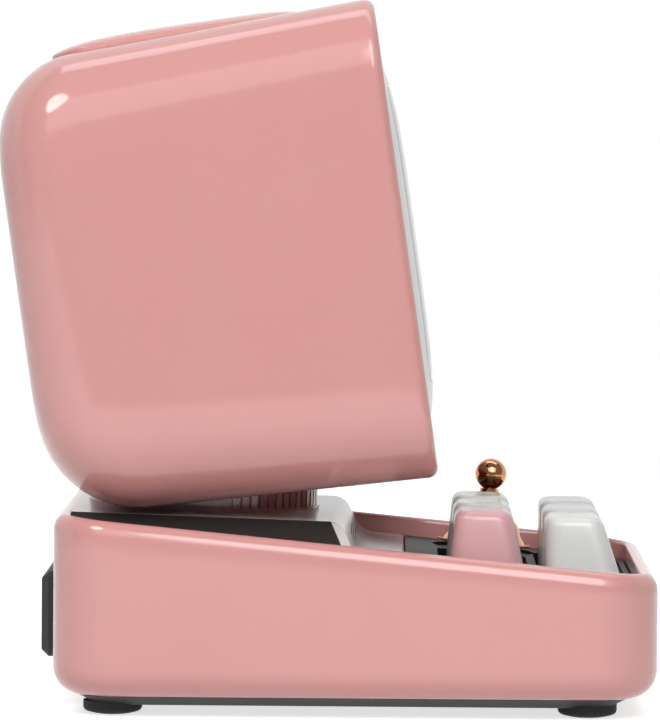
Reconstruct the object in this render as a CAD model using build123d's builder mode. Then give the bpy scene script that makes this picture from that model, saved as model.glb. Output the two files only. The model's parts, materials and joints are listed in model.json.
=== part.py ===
from build123d import *

import math
import os

# Desktop pixel-display speaker in the shape of a small retro computer, as separate pieces.
#
# Units are millimetres. X runs across the width, the front faces -Y and Z is up. The origin lies on the
# surface that the feet stand on, under the middle of the whole object's bounding box.

os.makedirs("parts", exist_ok=True)

# ---------------------------------------------------------------------------------------------------------
# Driving dimensions
# ---------------------------------------------------------------------------------------------------------

fit_gap = 0.15  # between a fixed piece and the pocket that holds it
pin_gap = 0.05  # radial, between a turning pin and its hole
slide_gap = 0.08  # between a sliding piece and its guide

# Base: a tray whose rim slopes down to the front
base_width = 90.2
base_depth = 102.5
base_front_y = -56.0
base_bottom_z = 3.45
base_corner = 11.0  # seen from above
base_belly = 5.2  # rounding where the walls turn under
rim_front_z = 24.4
rim_slope = 5.4  # degrees
rim_wall = 3.1
rim_outer_round = 2.0
rim_inner_round = 1.0
flange_inset = 7.5  # from the outer wall to the opening in the underside
flange_thickness = 2.0
ledge_width = 1.4
ledge_thickness = 1.6

# Bottom plate, feet and screws
plate_inset = 4.7
plate_bottom_z = 1.8
plate_bevel = 3.1
foot_radius = 5.0
foot_recess = 0.5
foot_x = 33.0
foot_from_front = 11.6
foot_from_rear = 10.5
boss_radius = 3.4
boss_height = 4.8
screw_radius = 1.1
screw_head_radius = 2.2
screw_head_height = 1.2
screw_length = 7.6

# Deck: the cover under the neck and the shelf in front of it
deck_drop = 3.2  # the shelf below the rim
deck_thickness = 2.0
key_plate_thickness = 2.0
deck_lip_y = -13.55  # where the shelf ends and the key plate starts
hump_front_y = -2.4  # where the hump's roof turns down
hump_front_z = 32.7
hump_roof_rise = 1.8  # degrees, up to the rear
hump_foot_y = -5.86  # where its front meets the shelf
hump_half_width = 33.0
hump_round = 3.0
shelf_round = 4.0
hump_ledge_z = 24.0  # the level ledge round the hump
cheek_face = 0.7  # thickness left of the hump's front before the cheeks
cheek_drop = 4.2  # how far the cheeks fall from the hump to the wall
cheek_thickness = 1.9
cheek_round = 1.5  # along its front edge
vent_rows = 3
vent_columns = 5
vent_pitch_x = 4.9
vent_pitch_z = 0.66
vent_middle_z = 28.6
vent_slot_length = 4.0
vent_slot_height = 0.46

# Key plate and keys, measured in the sloping plane of the plate
key_deck_drop = 3.3
key_travel = 2.8
cap_skirt = 1.6  # how far a cap reaches below the plate's surface
cap_corner = 3.2
cap_wall = 1.3
cap_side_in = 1.9
cap_edge_round = 1.5
well_corner = 1.6
well_side_gap = 1.0
back_row = {
    "centre_y": -27.6,
    "first_x": -30.4,
    "pitch": 19.9,
    "width": 18.3,
    "depth": 13.7,
    "height": 11.0,
    "rear_in": 0.05,
    "front_in": 4.15,
    "tilt": 4.2,
    "well_rear": 1.6,
    "well_front": 0.45,
    "stem_shift": 1.1,
}
front_row = {
    "centre_y": -44.38,
    "first_x": -20.75,
    "pitch": 20.75,
    "width": 19.2,
    "depth": 14.0,
    "height": 10.95,
    "rear_in": -1.14,
    "front_in": 5.68,
    "tilt": 5.4,
    "well_rear": 1.0,
    "well_front": 0.45,
    "stem_shift": 1.38,
}
keys_in_row = 3

# Key switches, on the board below the plate
switch_width = 12.6
switch_depth = 8.0
switch_flange_depth = 9.0
switch_top = 1.0
switch_flange_top = -6.0
switch_bottom = -8.5
switch_bore_radius = 2.5
switch_lid = 1.0
switch_floor = 0.5
stem_radius = 1.7
stem_top = 8.0
stem_guide_length = 3.4
socket_radius = 2.7
socket_bottom = 4.4
cap_ceiling = 1.7  # thickness of a cap's top
spring_wire = 0.4
spring_radius = 1.95
spring_turns = 3
spring_solid = 1.7  # height of a spring pressed flat
board_thickness = 1.6
post_radius = 2.4

# Lever
lever_x = 30.0
lever_y = -27.6
ball_radius = 2.8
ball_height = 13.05  # above the key plate
bell_rim_radius = 8.3
bell_lift = 0.9
bell_rim_thickness = 0.5
dish_radius = 9.2
dish_depth = 0.6
lever_hole_radius = 3.0
pivot_depth = 4.7
cradle_half = 4.7
cradle_hub = 3.1
cradle_height = 2.4
trunnion_radius = 0.8
lever_stem_radius = 1.2
housing_half = 7.0
housing_wall = 1.4
housing_top = -2.1
hub_half = 2.3

# Head: a rounded case that leans back
head_lean = 8.3  # degrees
head_width = 88.0
head_top = 40.27  # above the middle of the face, at the crown
head_bottom = 41.5  # below it
head_depth = 66.3
head_corner = 12.0  # seen from the front
head_wall = 2.6
head_face_z = 81.1
head_top_round = 14.6
head_bottom_round = 16.6
head_side_round = 11.0
head_crown = 0.7  # of the roof and the floor
head_side_crown = 0.3
roof_fall = 2.6  # the roof is lower at the rear
floor_rise = 2.1  # the floor is higher at the rear
face_round = 1.8
rim_edge_round = 0.4

# Raised panel on the roof
top_plate_width = 56.0
top_plate_corner = 6.0
top_plate_round = 0.6
# The panel's upper surface from rear to front: distance ahead of the face, height above its middle
top_plate_profile = [
    (-55.6, 39.2),
    (-53.8, 39.55),
    (-50.2, 40.05),
    (-43.3, 40.5),
    (-33.0, 40.8),
    (-22.7, 40.92),
    (-15.9, 40.9),
    (-11.6, 40.78),
]

# Front: fascia, window and light-emitting diodes
dome_height = 1.75
dome_middle = -1.5  # below the middle of the face
dome_half_width = 32.5
dome_half_height = 30.5
fascia_back_depth = 6.5
window_width = 53.0
window_height = 51.0
window_corner = 6.0
window_back = 2.0
pocket_width = 56.0
pocket_height = 54.0
led_count = 16
led_pitch = 3.05
led_cell = 2.55
grid_thickness = 2.6
led_board_thickness = 1.4
led_board_margin = 1.5

# Speaker, at the rear of the head
grille_side = 40.0
grille_corner = 10.0
grille_thickness = 2.0
grille_slots = 9
grille_slot_pitch = 4.1
grille_slot_width = 2.2
grille_rim = 2.0
speaker_side = 44.0
speaker_plate = 1.2
gasket_thickness = 0.8
speaker_screw_offset = 19.2
cone_radius = 18.5
basket_depth = 11.0
magnet_radius = 13.0
magnet_height = 8.0

# Neck
neck_from_rear = 24.84
neck_behind_face = 34.76  # from the middle of the head's face back to the neck
neck_radius = 19.7
neck_rib_depth = 0.5
neck_ribs = 72
neck_flange = 0.4  # how far the smooth band above the ribs stands out
neck_band = 0.7
neck_length = 12.0
neck_wall = 2.2
neck_groove = 0.62
post_tube_radius = 9.0
post_bore_radius = 6.5
post_flange_radius = 16.0
post_flange_thickness = 2.2
post_length = 13.8  # above the hump's roof
nut_height = 3.4
nut_radius = 13.0
washer_top = 8.4  # above the hump's roof

# Rear ports and electronics
port_width = 48.0
port_bottom_z = 8.6
port_height = 14.6
port_proud = 2.2
port_corner = 1.2
port_bevel = 1.2
port_face = 3.7  # thickness of the wall the sockets open through
port_plug = 5.0  # how far the block reaches in through the base's wall
main_board_top_z = 14.2
main_board_width = 41.0
main_board_depth = 24.0
usb_width = 9.0
usb_height = 3.2
usb_length = 7.4
usb_x = -12.0
card_width = 12.4
card_height = 1.6
card_length = 11.0
card_x = 4.0
switch_body = (8.6, 4.4, 3.4)
power_x = 16.0
power_travel = 2.0
power_knob = (2.0, 4.6, 1.6)
battery_radius = 9.2
battery_length = 65.0
battery_y = 7.0

# ---------------------------------------------------------------------------------------------------------
# Places worked out from the driving dimensions
# ---------------------------------------------------------------------------------------------------------

slope_cos = math.cos(math.radians(rim_slope))
slope_sin = math.sin(math.radians(rim_slope))
lean_cos = math.cos(math.radians(head_lean))
lean_sin = math.sin(math.radians(head_lean))
roof_cos = math.cos(math.radians(hump_roof_rise))
roof_sin = math.sin(math.radians(hump_roof_rise))
base_rear_y = base_front_y + base_depth
base_mid_y = base_front_y + base_depth / 2
rim_rear_z = rim_front_z + base_depth * slope_sin / slope_cos
floor_z = base_bottom_z + flange_thickness
neck_y = base_rear_y - neck_from_rear
head_face_y = neck_y - neck_behind_face
stem_foot = switch_bottom + switch_floor + spring_solid + key_travel
port_middle_z = port_bottom_z + port_height / 2
foot_spots = [
    (side * foot_x, y)
    for side in (-1, 1)
    for y in (base_front_y + foot_from_front, base_rear_y - foot_from_rear)
]

rim_plane = Plane(
    origin=(0, base_front_y, rim_front_z), x_dir=(1, 0, 0), z_dir=(0, -slope_sin, slope_cos)
)
key_deck = rim_plane.offset(-key_deck_drop)
key_board_top = key_deck.offset(switch_bottom)
face_plane = Plane(
    origin=(0, head_face_y, head_face_z), x_dir=(1, 0, 0), z_dir=(0, -lean_cos, lean_sin)
)
# The hump's roof, with x to the right and y up its slope
hump_roof = Plane(
    origin=(0, hump_front_y, hump_front_z), x_dir=(1, 0, 0), z_dir=(0, -roof_sin, roof_cos)
)
# A section across the hump from behind it, looking forward along the roof: y is the height above the roof.
hump_section = Plane(
    origin=hump_roof.from_local_coords((0, base_depth, 0)), x_dir=(1, 0, 0), z_dir=-hump_roof.y_dir
)
# A side view of the head: x runs forward out of its face and y up it.
head_side = Plane(origin=face_plane.origin, x_dir=face_plane.z_dir, z_dir=(-1, 0, 0))
# The roof plane lies across the head, with x to the right and y to the rear.
head_roof = Plane(origin=face_plane.origin, x_dir=(1, 0, 0), z_dir=face_plane.y_dir)


def up_slope(plane, y):
    """Distance up a sloping plane at which it passes the given y."""
    return (y - plane.origin.Y) / slope_cos


def roof_z(y):
    """Height of the hump's roof at y."""
    return hump_front_z + (y - hump_front_y) * roof_sin / roof_cos


# The neck stands square to the hump's roof.
neck_foot = Plane(origin=(0, neck_y, roof_z(neck_y)), x_dir=(1, 0, 0), z_dir=hump_roof.z_dir)


def moved(plane, x=0.0, y=0.0, z=0.0, turn_x=0.0):
    """A plane shifted in its own axes and then turned about its own x."""
    return Plane(plane * Location((x, y, z), (turn_x, 0, 0)))


def write(builder, name):
    """Labels a finished piece and writes it to its own file."""
    builder.part.label = name
    export_step(builder.part, f"parts/{name}.step")


def tray_outline(inset):
    """Outline of the base from above, drawn in from the outer wall."""
    with Locations((0, base_mid_y)):
        RectangleRounded(base_width - 2 * inset, base_depth - 2 * inset, max(base_corner - inset, 1.5))


# ---------------------------------------------------------------------------------------------------------
# Base shell
# ---------------------------------------------------------------------------------------------------------


ledge_drop = key_deck_drop + key_plate_thickness


def sloping_z(y, drop):
    """Height at y of the plane that lies the given drop below the rim."""
    return rim_front_z + (y - base_front_y) * slope_sin / slope_cos - drop / slope_cos


ledge_meet_y = base_front_y + (hump_ledge_z - sloping_z(base_front_y, ledge_drop)) * slope_cos / slope_sin

# The ledge runs round the inside: level round the hump, and sloping with the rim in front of it.
with BuildPart() as ledge:
    with BuildSketch(Plane.YZ):
        with BuildLine():
            Polyline(
                (base_front_y, sloping_z(base_front_y, ledge_drop)),
                (ledge_meet_y, hump_ledge_z),
                (base_rear_y, hump_ledge_z),
                (base_rear_y, hump_ledge_z - ledge_thickness),
                (ledge_meet_y, hump_ledge_z - ledge_thickness),
                (base_front_y, sloping_z(base_front_y, ledge_drop) - ledge_thickness),
                close=True,
            )
        make_face()
    extrude(amount=base_width, both=True)
    with BuildSketch(Plane.XY):
        tray_outline(rim_wall - 1.0)
    extrude(amount=2 * hump_ledge_z, mode=Mode.INTERSECT)
    with BuildSketch(Plane.XY):
        tray_outline(rim_wall + ledge_width)
    extrude(amount=2 * hump_ledge_z, mode=Mode.SUBTRACT)

with BuildPart() as base_shell:
    with BuildSketch(Plane.XY.offset(base_bottom_z)):
        tray_outline(0)
    extrude(amount=rim_rear_z)
    fillet(base_shell.faces().sort_by(Axis.Z)[0].edges(), base_belly)
    split(bisect_by=rim_plane, keep=Keep.BOTTOM)
    with BuildSketch(Plane.XY.offset(floor_z)):
        tray_outline(rim_wall)
    extrude(amount=rim_rear_z, mode=Mode.SUBTRACT)
    with BuildSketch(Plane.XY.offset(base_bottom_z)):
        tray_outline(flange_inset)
    extrude(amount=flange_thickness, mode=Mode.SUBTRACT)
    rim_face = base_shell.faces().filter_by(rim_plane).sort_by(Axis.Z)[-1]
    fillet(rim_face.outer_wire().edges(), rim_outer_round)
    rim_face = base_shell.faces().filter_by(rim_plane).sort_by(Axis.Z)[-1]
    fillet(rim_face.inner_wires()[0].edges(), rim_inner_round)
    add(ledge.part)
    # Screw bosses stand over the feet, each tied to the nearer side wall by a rib.
    with BuildSketch(Plane.XY.offset(floor_z + fit_gap)):
        with Locations(*foot_spots):
            Circle(boss_radius)
        for x, y in foot_spots:
            wall_x = math.copysign(base_width / 2 - rim_wall + 0.6, x)
            with Locations(((x + wall_x) / 2, y)):
                Rectangle(abs(wall_x - x), 2.4)
    extrude(amount=boss_height)
    with BuildSketch(Plane.XY.offset(floor_z + fit_gap)):
        with Locations(*foot_spots):
            Circle(screw_radius + pin_gap)
    extrude(amount=boss_height, mode=Mode.SUBTRACT)
    # The opening for the port block goes through the rear wall.
    with BuildSketch(Plane.XZ.offset(-base_rear_y)):
        with Locations((0, port_middle_z)):
            RectangleRounded(port_width - 3.0, port_height - 3.0, port_corner)
    extrude(amount=rim_wall + 2.0, both=True, mode=Mode.SUBTRACT)
write(base_shell, "base_shell")

# ---------------------------------------------------------------------------------------------------------
# Bottom plate, feet and screws
# ---------------------------------------------------------------------------------------------------------

foot_top_z = plate_bottom_z + foot_recess
screw_seat_z = foot_top_z + fit_gap + screw_head_height
board_rear_y = base_rear_y - 2.0
board_posts = [
    (side * (main_board_width / 2 - 3.5), board_rear_y - main_board_depth + from_front)
    for side in (-1, 1)
    for from_front in (3.0, main_board_depth - 9.0)
]

with BuildPart() as bottom_plate:
    with BuildSketch(Plane.XY.offset(plate_bottom_z)):
        tray_outline(plate_inset)
    extrude(amount=base_bottom_z - plate_bottom_z)
    chamfer(
        bottom_plate.faces().sort_by(Axis.Z)[0].edges(),
        length=plate_bevel,
        length2=(base_bottom_z - plate_bottom_z) * 0.96,
        reference=bottom_plate.faces().sort_by(Axis.Z)[0],
    )
    with BuildSketch(Plane.XY.offset(base_bottom_z)):
        tray_outline(flange_inset + fit_gap)
    extrude(amount=flange_thickness)
    # Feet sit in round recesses, and a counterbored screw hole opens in the middle of each.
    with BuildSketch(Plane.XY.offset(plate_bottom_z)):
        with Locations(*foot_spots):
            Circle(foot_radius + fit_gap)
    extrude(amount=foot_recess, mode=Mode.SUBTRACT)
    with BuildSketch(Plane.XY.offset(foot_top_z)):
        with Locations(*foot_spots):
            Circle(screw_head_radius + fit_gap)
    extrude(amount=screw_seat_z - foot_top_z, mode=Mode.SUBTRACT)
    with BuildSketch(Plane.XY.offset(foot_top_z)):
        with Locations(*foot_spots):
            Circle(screw_radius + fit_gap)
    extrude(amount=floor_z, mode=Mode.SUBTRACT)
    # Two ribs cradle the battery, and two posts carry the main board.
    with BuildSketch(Plane.XY.offset(floor_z)):
        with Locations((-battery_length / 3, battery_y), (battery_length / 3, battery_y)):
            Rectangle(2.4, 2 * battery_radius)
        with Locations(*board_posts):
            Circle(post_radius)
    extrude(amount=main_board_top_z - board_thickness - floor_z)
    with BuildSketch(Plane.YZ.offset(-battery_length / 2)):
        with Locations((battery_y, floor_z + 1.0 + battery_radius)):
            Circle(battery_radius + fit_gap)
    extrude(amount=battery_length, mode=Mode.SUBTRACT)
write(bottom_plate, "bottom_plate")

with BuildPart() as rubber_feet:
    with BuildSketch(Plane.XZ):
        with BuildLine():
            Line((0, foot_top_z), (foot_radius, foot_top_z))
            Line((foot_radius, foot_top_z), (foot_radius, 1.1))
            Spline(
                (foot_radius, 1.1), (foot_radius * 0.72, 0.22), (foot_radius * 0.45, 0.0),
                tangents=((-0.25, -1), (-1, 0)),
            )
            Line((foot_radius * 0.45, 0), (0, 0))
            Line((0, 0), (0, foot_top_z))
        make_face()
    foot = revolve(axis=Axis.Z, mode=Mode.PRIVATE)
    with Locations(*[(x, y, 0) for x, y in foot_spots]):
        add(foot)
write(rubber_feet, "rubber_feet")

with BuildPart() as base_screws:
    with BuildSketch(Plane.XY.offset(screw_seat_z - screw_head_height)):
        with Locations(*foot_spots):
            Circle(screw_head_radius)
    extrude(amount=screw_head_height)
    with BuildSketch(Plane.XY.offset(screw_seat_z - screw_head_height)):
        with Locations(*foot_spots):
            Circle(screw_radius)
    extrude(amount=screw_length)
    # A cross recess in each head
    with BuildSketch(Plane.XY.offset(screw_seat_z - screw_head_height)):
        with Locations(*foot_spots):
            Rectangle(2.6, 0.5)
            Rectangle(0.5, 2.6)
    extrude(amount=0.7, mode=Mode.SUBTRACT)
write(base_screws, "base_screws")

# ---------------------------------------------------------------------------------------------------------
# Deck cover and its cheeks
# ---------------------------------------------------------------------------------------------------------


inner_rear_y = base_rear_y - rim_wall - fit_gap
inner_half_width = base_width / 2 - rim_wall - fit_gap
hump_run = hump_front_y - hump_foot_y
hump_rise = hump_front_z - sloping_z(hump_foot_y, deck_drop)
hump_lean = math.atan2(hump_rise, hump_run)
face_shift = deck_thickness / math.sin(hump_lean)


def deck_profile():
    """Side view of the deck's upper surface."""
    return FilletPolyline(
        (deck_lip_y + fit_gap, sloping_z(deck_lip_y + fit_gap, deck_drop)),
        (hump_foot_y, sloping_z(hump_foot_y, deck_drop)),
        (hump_front_y, hump_front_z),
        (inner_rear_y, roof_z(inner_rear_y)),
        radius=(shelf_round, hump_round),
    )


def cheek_block(side, gap):
    """One cheek, grown by a gap on its hidden faces."""
    inner_x = hump_half_width - gap
    outer_x = inner_half_width + 2.0
    fall = cheek_drop / (inner_half_width - hump_half_width)
    outer_drop = (outer_x - hump_half_width) * fall
    front_shift = cheek_face - gap
    with BuildPart() as block:
        with BuildSketch(hump_section):
            with BuildLine():
                Polyline(
                    (side * inner_x, gap * fall),
                    (side * outer_x, -outer_drop),
                    (side * outer_x, -outer_drop - cheek_thickness - gap),
                    (side * inner_x, gap * fall - cheek_thickness - gap),
                    close=True,
                )
            make_face()
        extrude(amount=2 * base_depth)
        with BuildSketch(Plane.YZ):
            with BuildLine():
                Polyline(
                    (hump_foot_y + front_shift, hump_front_z - hump_rise),
                    (hump_front_y + front_shift, hump_front_z),
                    (hump_front_y + front_shift + hump_run, hump_front_z + hump_rise),
                    (base_rear_y, hump_front_z + hump_rise),
                    (base_rear_y, hump_front_z - hump_rise),
                    close=True,
                )
            make_face()
        extrude(amount=base_width, both=True, mode=Mode.INTERSECT)
        with BuildSketch(Plane.XY):
            tray_outline(rim_wall + fit_gap - gap)
        extrude(amount=2 * hump_front_z, mode=Mode.INTERSECT)
        top_face = block.faces().sort_by(lambda face: face.normal_at().Z)[-1]
        fillet(top_face.edges().sort_by(Axis.Y)[0], cheek_round + gap)
    return block


hollow_front_y = hump_front_y + face_shift - deck_thickness * hump_run / hump_rise
hollow_rear_y = inner_rear_y - deck_thickness
hollow_half_width = inner_half_width - deck_thickness
under_cheek = cheek_thickness + deck_thickness
slope_low = 0.9 - cheek_drop - under_cheek
with BuildPart() as deck_hollow:
    with BuildSketch(Plane.YZ):
        with BuildLine():
            Polyline(
                (hump_foot_y + face_shift, hump_front_z - hump_rise),
                (hollow_front_y, roof_z(hollow_front_y) - deck_thickness),
                (hollow_rear_y, roof_z(hollow_rear_y) - deck_thickness),
                (hollow_rear_y, 0),
                (hump_foot_y + face_shift - 1.2, 0),
                (hump_foot_y + face_shift - 1.2, hump_front_z - hump_rise - 2.0),
                close=True,
            )
        make_face()
    extrude(amount=base_width, both=True)
    with BuildSketch(hump_section):
        with BuildLine():
            Polyline(
                (-hollow_half_width, -2 * hump_front_z),
                (-hollow_half_width, slope_low),
                (-hump_half_width, -under_cheek),
                (deck_thickness - hump_half_width, 0),
                (hump_half_width - deck_thickness, 0),
                (hump_half_width, -under_cheek),
                (hollow_half_width, slope_low),
                (hollow_half_width, -2 * hump_front_z),
                close=True,
            )
        make_face()
    extrude(amount=2 * base_depth, mode=Mode.INTERSECT)

with BuildPart() as deck_cover:
    with BuildSketch(Plane.YZ):
        with BuildLine():
            deck_profile()
            Polyline(
                (inner_rear_y, roof_z(inner_rear_y)),
                (inner_rear_y, hump_ledge_z),
                (ledge_meet_y, hump_ledge_z),
                (deck_lip_y + fit_gap, sloping_z(deck_lip_y + fit_gap, ledge_drop)),
                (deck_lip_y + fit_gap, sloping_z(deck_lip_y + fit_gap, deck_drop)),
            )
        make_face()
    extrude(amount=base_width, both=True)
    lip_edge = deck_cover.edges().filter_by(Axis.X).sort_by(Axis.Y)[0:2].sort_by(Axis.Z)[-1]
    fillet(lip_edge, 0.8)
    with BuildSketch(Plane.XY):
        tray_outline(rim_wall + fit_gap)
    extrude(amount=2 * hump_front_z, mode=Mode.INTERSECT)
    add(deck_hollow.part, mode=Mode.SUBTRACT)
    # The hump's sides fall away under the cheeks.
    with BuildSketch(hump_section):
        for side in (-1, 1):
            with BuildLine():
                Polyline(
                    (side * hump_half_width, 0),
                    (side * (2 * inner_half_width - hump_half_width), -2 * cheek_drop),
                    (side * (2 * inner_half_width - hump_half_width), 1),
                    (side * hump_half_width, 1),
                    close=True,
                )
            make_face()
    extrude(amount=2 * base_depth, mode=Mode.SUBTRACT)
    add(cheek_block(-1, fit_gap).part, mode=Mode.SUBTRACT)
    add(cheek_block(1, fit_gap).part, mode=Mode.SUBTRACT)
    # A hole for the neck's tube, and a small vent low on the hump's front.
    with BuildSketch(neck_foot):
        Circle(post_tube_radius + fit_gap)
    extrude(amount=hump_rise, both=True, mode=Mode.SUBTRACT)
    with BuildSketch(Plane.XZ.offset(-(hump_foot_y + face_shift + 1.0))):
        for row in range(vent_rows):
            row_z = vent_middle_z + (row - (vent_rows - 1) / 2) * vent_pitch_z
            stagger = vent_pitch_x * (0.25 if row % 2 else -0.25)
            with Locations((stagger / 2, row_z)):
                with GridLocations(vent_pitch_x, 1, vent_columns, 1):
                    Rectangle(vent_slot_length, vent_slot_height)
    extrude(amount=face_shift + hump_run + 2.0, mode=Mode.SUBTRACT)
write(deck_cover, "deck_cover")

cheek_left = cheek_block(-1, 0.0)
write(cheek_left, "cheek_left")

cheek_right = cheek_block(1, 0.0)
write(cheek_right, "cheek_right")

# ---------------------------------------------------------------------------------------------------------
# Key plate and the board under it
# ---------------------------------------------------------------------------------------------------------


post_spots = [
    (side * x, up_slope(key_deck, y))
    for side in (-1, 1)
    for x, y in ((foot_x + 3.0, front_row["centre_y"]), (foot_x, deck_lip_y - 2.9))
]
lever_spot = (lever_x, up_slope(key_deck, lever_y))


def key_x(row, index):
    return row["first_x"] + index * row["pitch"]


def row_well(row):
    """Cuts one long well for a whole row of keys in the current sketch."""
    middle_x = key_x(row, (keys_in_row - 1) / 2)
    span = (keys_in_row - 1) * row["pitch"] + row["width"] + 2 * well_side_gap
    depth = row["depth"] + row["well_rear"] + row["well_front"]
    middle_y = up_slope(key_deck, row["centre_y"]) + (row["well_rear"] - row["well_front"]) / 2
    with Locations((middle_x, middle_y)):
        RectangleRounded(span, depth, well_corner, mode=Mode.SUBTRACT)


with BuildPart() as key_plate:
    with BuildSketch(key_deck):
        with Locations((0, up_slope(key_deck, deck_lip_y) - base_depth)):
            Rectangle(2 * base_width, 2 * base_depth)
        row_well(back_row)
        row_well(front_row)
    extrude(amount=-key_plate_thickness)
    with BuildSketch(key_deck.offset(-key_plate_thickness)):
        with Locations(*post_spots):
            Circle(post_radius)
    extrude(amount=switch_bottom + key_plate_thickness)
    with BuildSketch(key_deck):
        with Locations(lever_spot):
            Circle(dish_radius)
    extrude(amount=-dish_depth, mode=Mode.SUBTRACT)
    with BuildSketch(key_deck):
        with Locations(lever_spot):
            Circle(lever_hole_radius)
    extrude(amount=-key_plate_thickness, mode=Mode.SUBTRACT)
    with BuildSketch(Plane.XY):
        tray_outline(rim_wall + fit_gap)
        with Locations((0, deck_lip_y + base_depth / 2)):
            Rectangle(2 * base_width, base_depth, mode=Mode.SUBTRACT)
    extrude(amount=2 * rim_rear_z, mode=Mode.INTERSECT)
    with BuildSketch(key_board_top):
        with Locations(*post_spots):
            Circle(0.9)
    extrude(amount=5.0, mode=Mode.SUBTRACT)
write(key_plate, "key_plate")

board_rear = up_slope(key_deck, deck_lip_y - 0.6)
board_front = up_slope(key_deck, base_front_y + rim_wall + 2.2)
with BuildPart() as key_board:
    with BuildSketch(key_board_top):
        with Locations((0, (board_rear + board_front) / 2)):
            RectangleRounded(2 * foot_x + 12.0, board_rear - board_front, 1.5)
        with Locations(*post_spots):
            Circle(0.9 + fit_gap, mode=Mode.SUBTRACT)
    extrude(amount=-board_thickness)
write(key_board, "key_board")

with BuildPart() as board_screws:
    with BuildSketch(key_board_top.offset(-board_thickness)):
        with Locations(*post_spots):
            Circle(0.9)
    extrude(amount=5.6)
    with BuildSketch(key_board_top.offset(-board_thickness)):
        with Locations(*post_spots):
            Circle(1.7)
    extrude(amount=-1.1)
    with BuildSketch(key_board_top.offset(-board_thickness - 1.1)):
        with Locations(*post_spots):
            Rectangle(2.0, 0.4)
            Rectangle(0.4, 2.0)
    extrude(amount=0.6, mode=Mode.SUBTRACT)
write(board_screws, "board_screws")

# ---------------------------------------------------------------------------------------------------------
# Keys and their switches
# ---------------------------------------------------------------------------------------------------------


def stem_spot(row, index):
    """Where a key's stem stands, in the plane of the key deck."""
    return (key_x(row, index), up_slope(key_deck, row["centre_y"]) + row["stem_shift"])


def cap_loft(row, index, inset, low, high):
    """A tapering block between two heights, for the outside or the hollow of a cap."""
    middle = (key_x(row, index), up_slope(key_deck, row["centre_y"]))
    foot = moved(key_deck, middle[0], middle[1], low)
    shift = (row["front_in"] - row["rear_in"]) / 2
    top = moved(key_deck, middle[0], middle[1] + shift, high, -row["tilt"])
    top_width = row["width"] - 2 * cap_side_in - 2 * inset
    top_depth = row["depth"] - row["front_in"] - row["rear_in"] - 2 * inset
    with BuildPart() as block:
        with BuildSketch(foot):
            RectangleRounded(row["width"] - 2 * inset, row["depth"] - 2 * inset, cap_corner - inset)
        with BuildSketch(top):
            RectangleRounded(top_width, top_depth, max(cap_corner - 0.4 - inset, 0.8))
        loft()
    return block


def keycap(row, index):
    """A hollow cap with a sculpted top and a socket for the stem."""
    spot = stem_spot(row, index)
    hollow = cap_loft(row, index, cap_wall, -cap_skirt, row["height"] - cap_ceiling)
    with BuildPart() as cap:
        add(cap_loft(row, index, 0.0, -cap_skirt, row["height"]).part)
        fillet(cap.faces().sort_by(Axis(key_deck.origin, key_deck.z_dir))[-1].edges(), cap_edge_round)
        add(hollow.part, mode=Mode.SUBTRACT)
        with BuildSketch(moved(key_deck, spot[0], spot[1], socket_bottom)):
            Circle(socket_radius)
        extrude(amount=row["height"] - cap_ceiling + 0.7 - socket_bottom)
        with BuildSketch(moved(key_deck, spot[0], spot[1], socket_bottom)):
            Circle(stem_radius)
        extrude(amount=stem_top - socket_bottom, mode=Mode.SUBTRACT)
    return cap


def plunger(row, index):
    """The stem that slides in a switch: its upper end fits the cap and its foot rides in the bore."""
    spot = stem_spot(row, index)
    with BuildPart() as stem:
        with BuildSketch(moved(key_deck, spot[0], spot[1], stem_foot)):
            Circle(stem_radius)
        extrude(amount=stem_top - stem_foot)
        with BuildSketch(moved(key_deck, spot[0], spot[1], stem_foot)):
            Circle(switch_bore_radius - slide_gap)
        extrude(amount=stem_guide_length)
    return stem


def key_spring(row, index):
    """A small coil between the floor of the switch and the foot of the plunger."""
    spot = stem_spot(row, index)
    low = switch_bottom + switch_floor + spring_wire / 2
    coil_height = stem_foot - spring_wire / 2 - low
    coil_plane = moved(key_deck, spot[0], spot[1], low)
    coil_path = coil_plane.location * Helix(
        pitch=coil_height / spring_turns, height=coil_height, radius=spring_radius
    )
    with BuildPart() as coil:
        with BuildSketch(Plane(origin=coil_path @ 0, z_dir=coil_path % 0, x_dir=coil_plane.z_dir)):
            Rectangle(spring_wire, spring_wire)
        sweep(path=coil_path, is_frenet=True)
    return coil


with BuildPart() as key_switches:
    for row in (back_row, front_row):
        for index in range(keys_in_row):
            spot = stem_spot(row, index)
            with BuildSketch(moved(key_deck, spot[0], spot[1], switch_bottom)):
                Rectangle(switch_width, switch_flange_depth)
            extrude(amount=switch_flange_top - switch_bottom)
            with BuildSketch(moved(key_deck, spot[0], spot[1], switch_bottom)):
                Rectangle(switch_width - 1.6, switch_depth)
            extrude(amount=switch_top - switch_bottom)
            with BuildSketch(moved(key_deck, spot[0], spot[1], switch_bottom + switch_floor)):
                Circle(switch_bore_radius)
            extrude(amount=switch_top - switch_lid - switch_bottom - switch_floor, mode=Mode.SUBTRACT)
            with BuildSketch(moved(key_deck, spot[0], spot[1], switch_top)):
                Circle(stem_radius + slide_gap)
            extrude(amount=-switch_lid, mode=Mode.SUBTRACT)
write(key_switches, "key_switches")

for row_name, row in (("back", back_row), ("front", front_row)):
    for index in range(keys_in_row):
        name = f"{row_name}_{index + 1}"
        write(keycap(row, index), f"key_{name}")
        write(plunger(row, index), f"plunger_{name}")
        write(key_spring(row, index), f"key_spring_{name}")

# ---------------------------------------------------------------------------------------------------------
# Lever: a ball on a stem, held by two crossed hinges
# ---------------------------------------------------------------------------------------------------------



def lever_plane(height):
    """The plane across the lever's axis at a height above the key deck."""
    return moved(key_deck, lever_spot[0], lever_spot[1], height)


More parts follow.
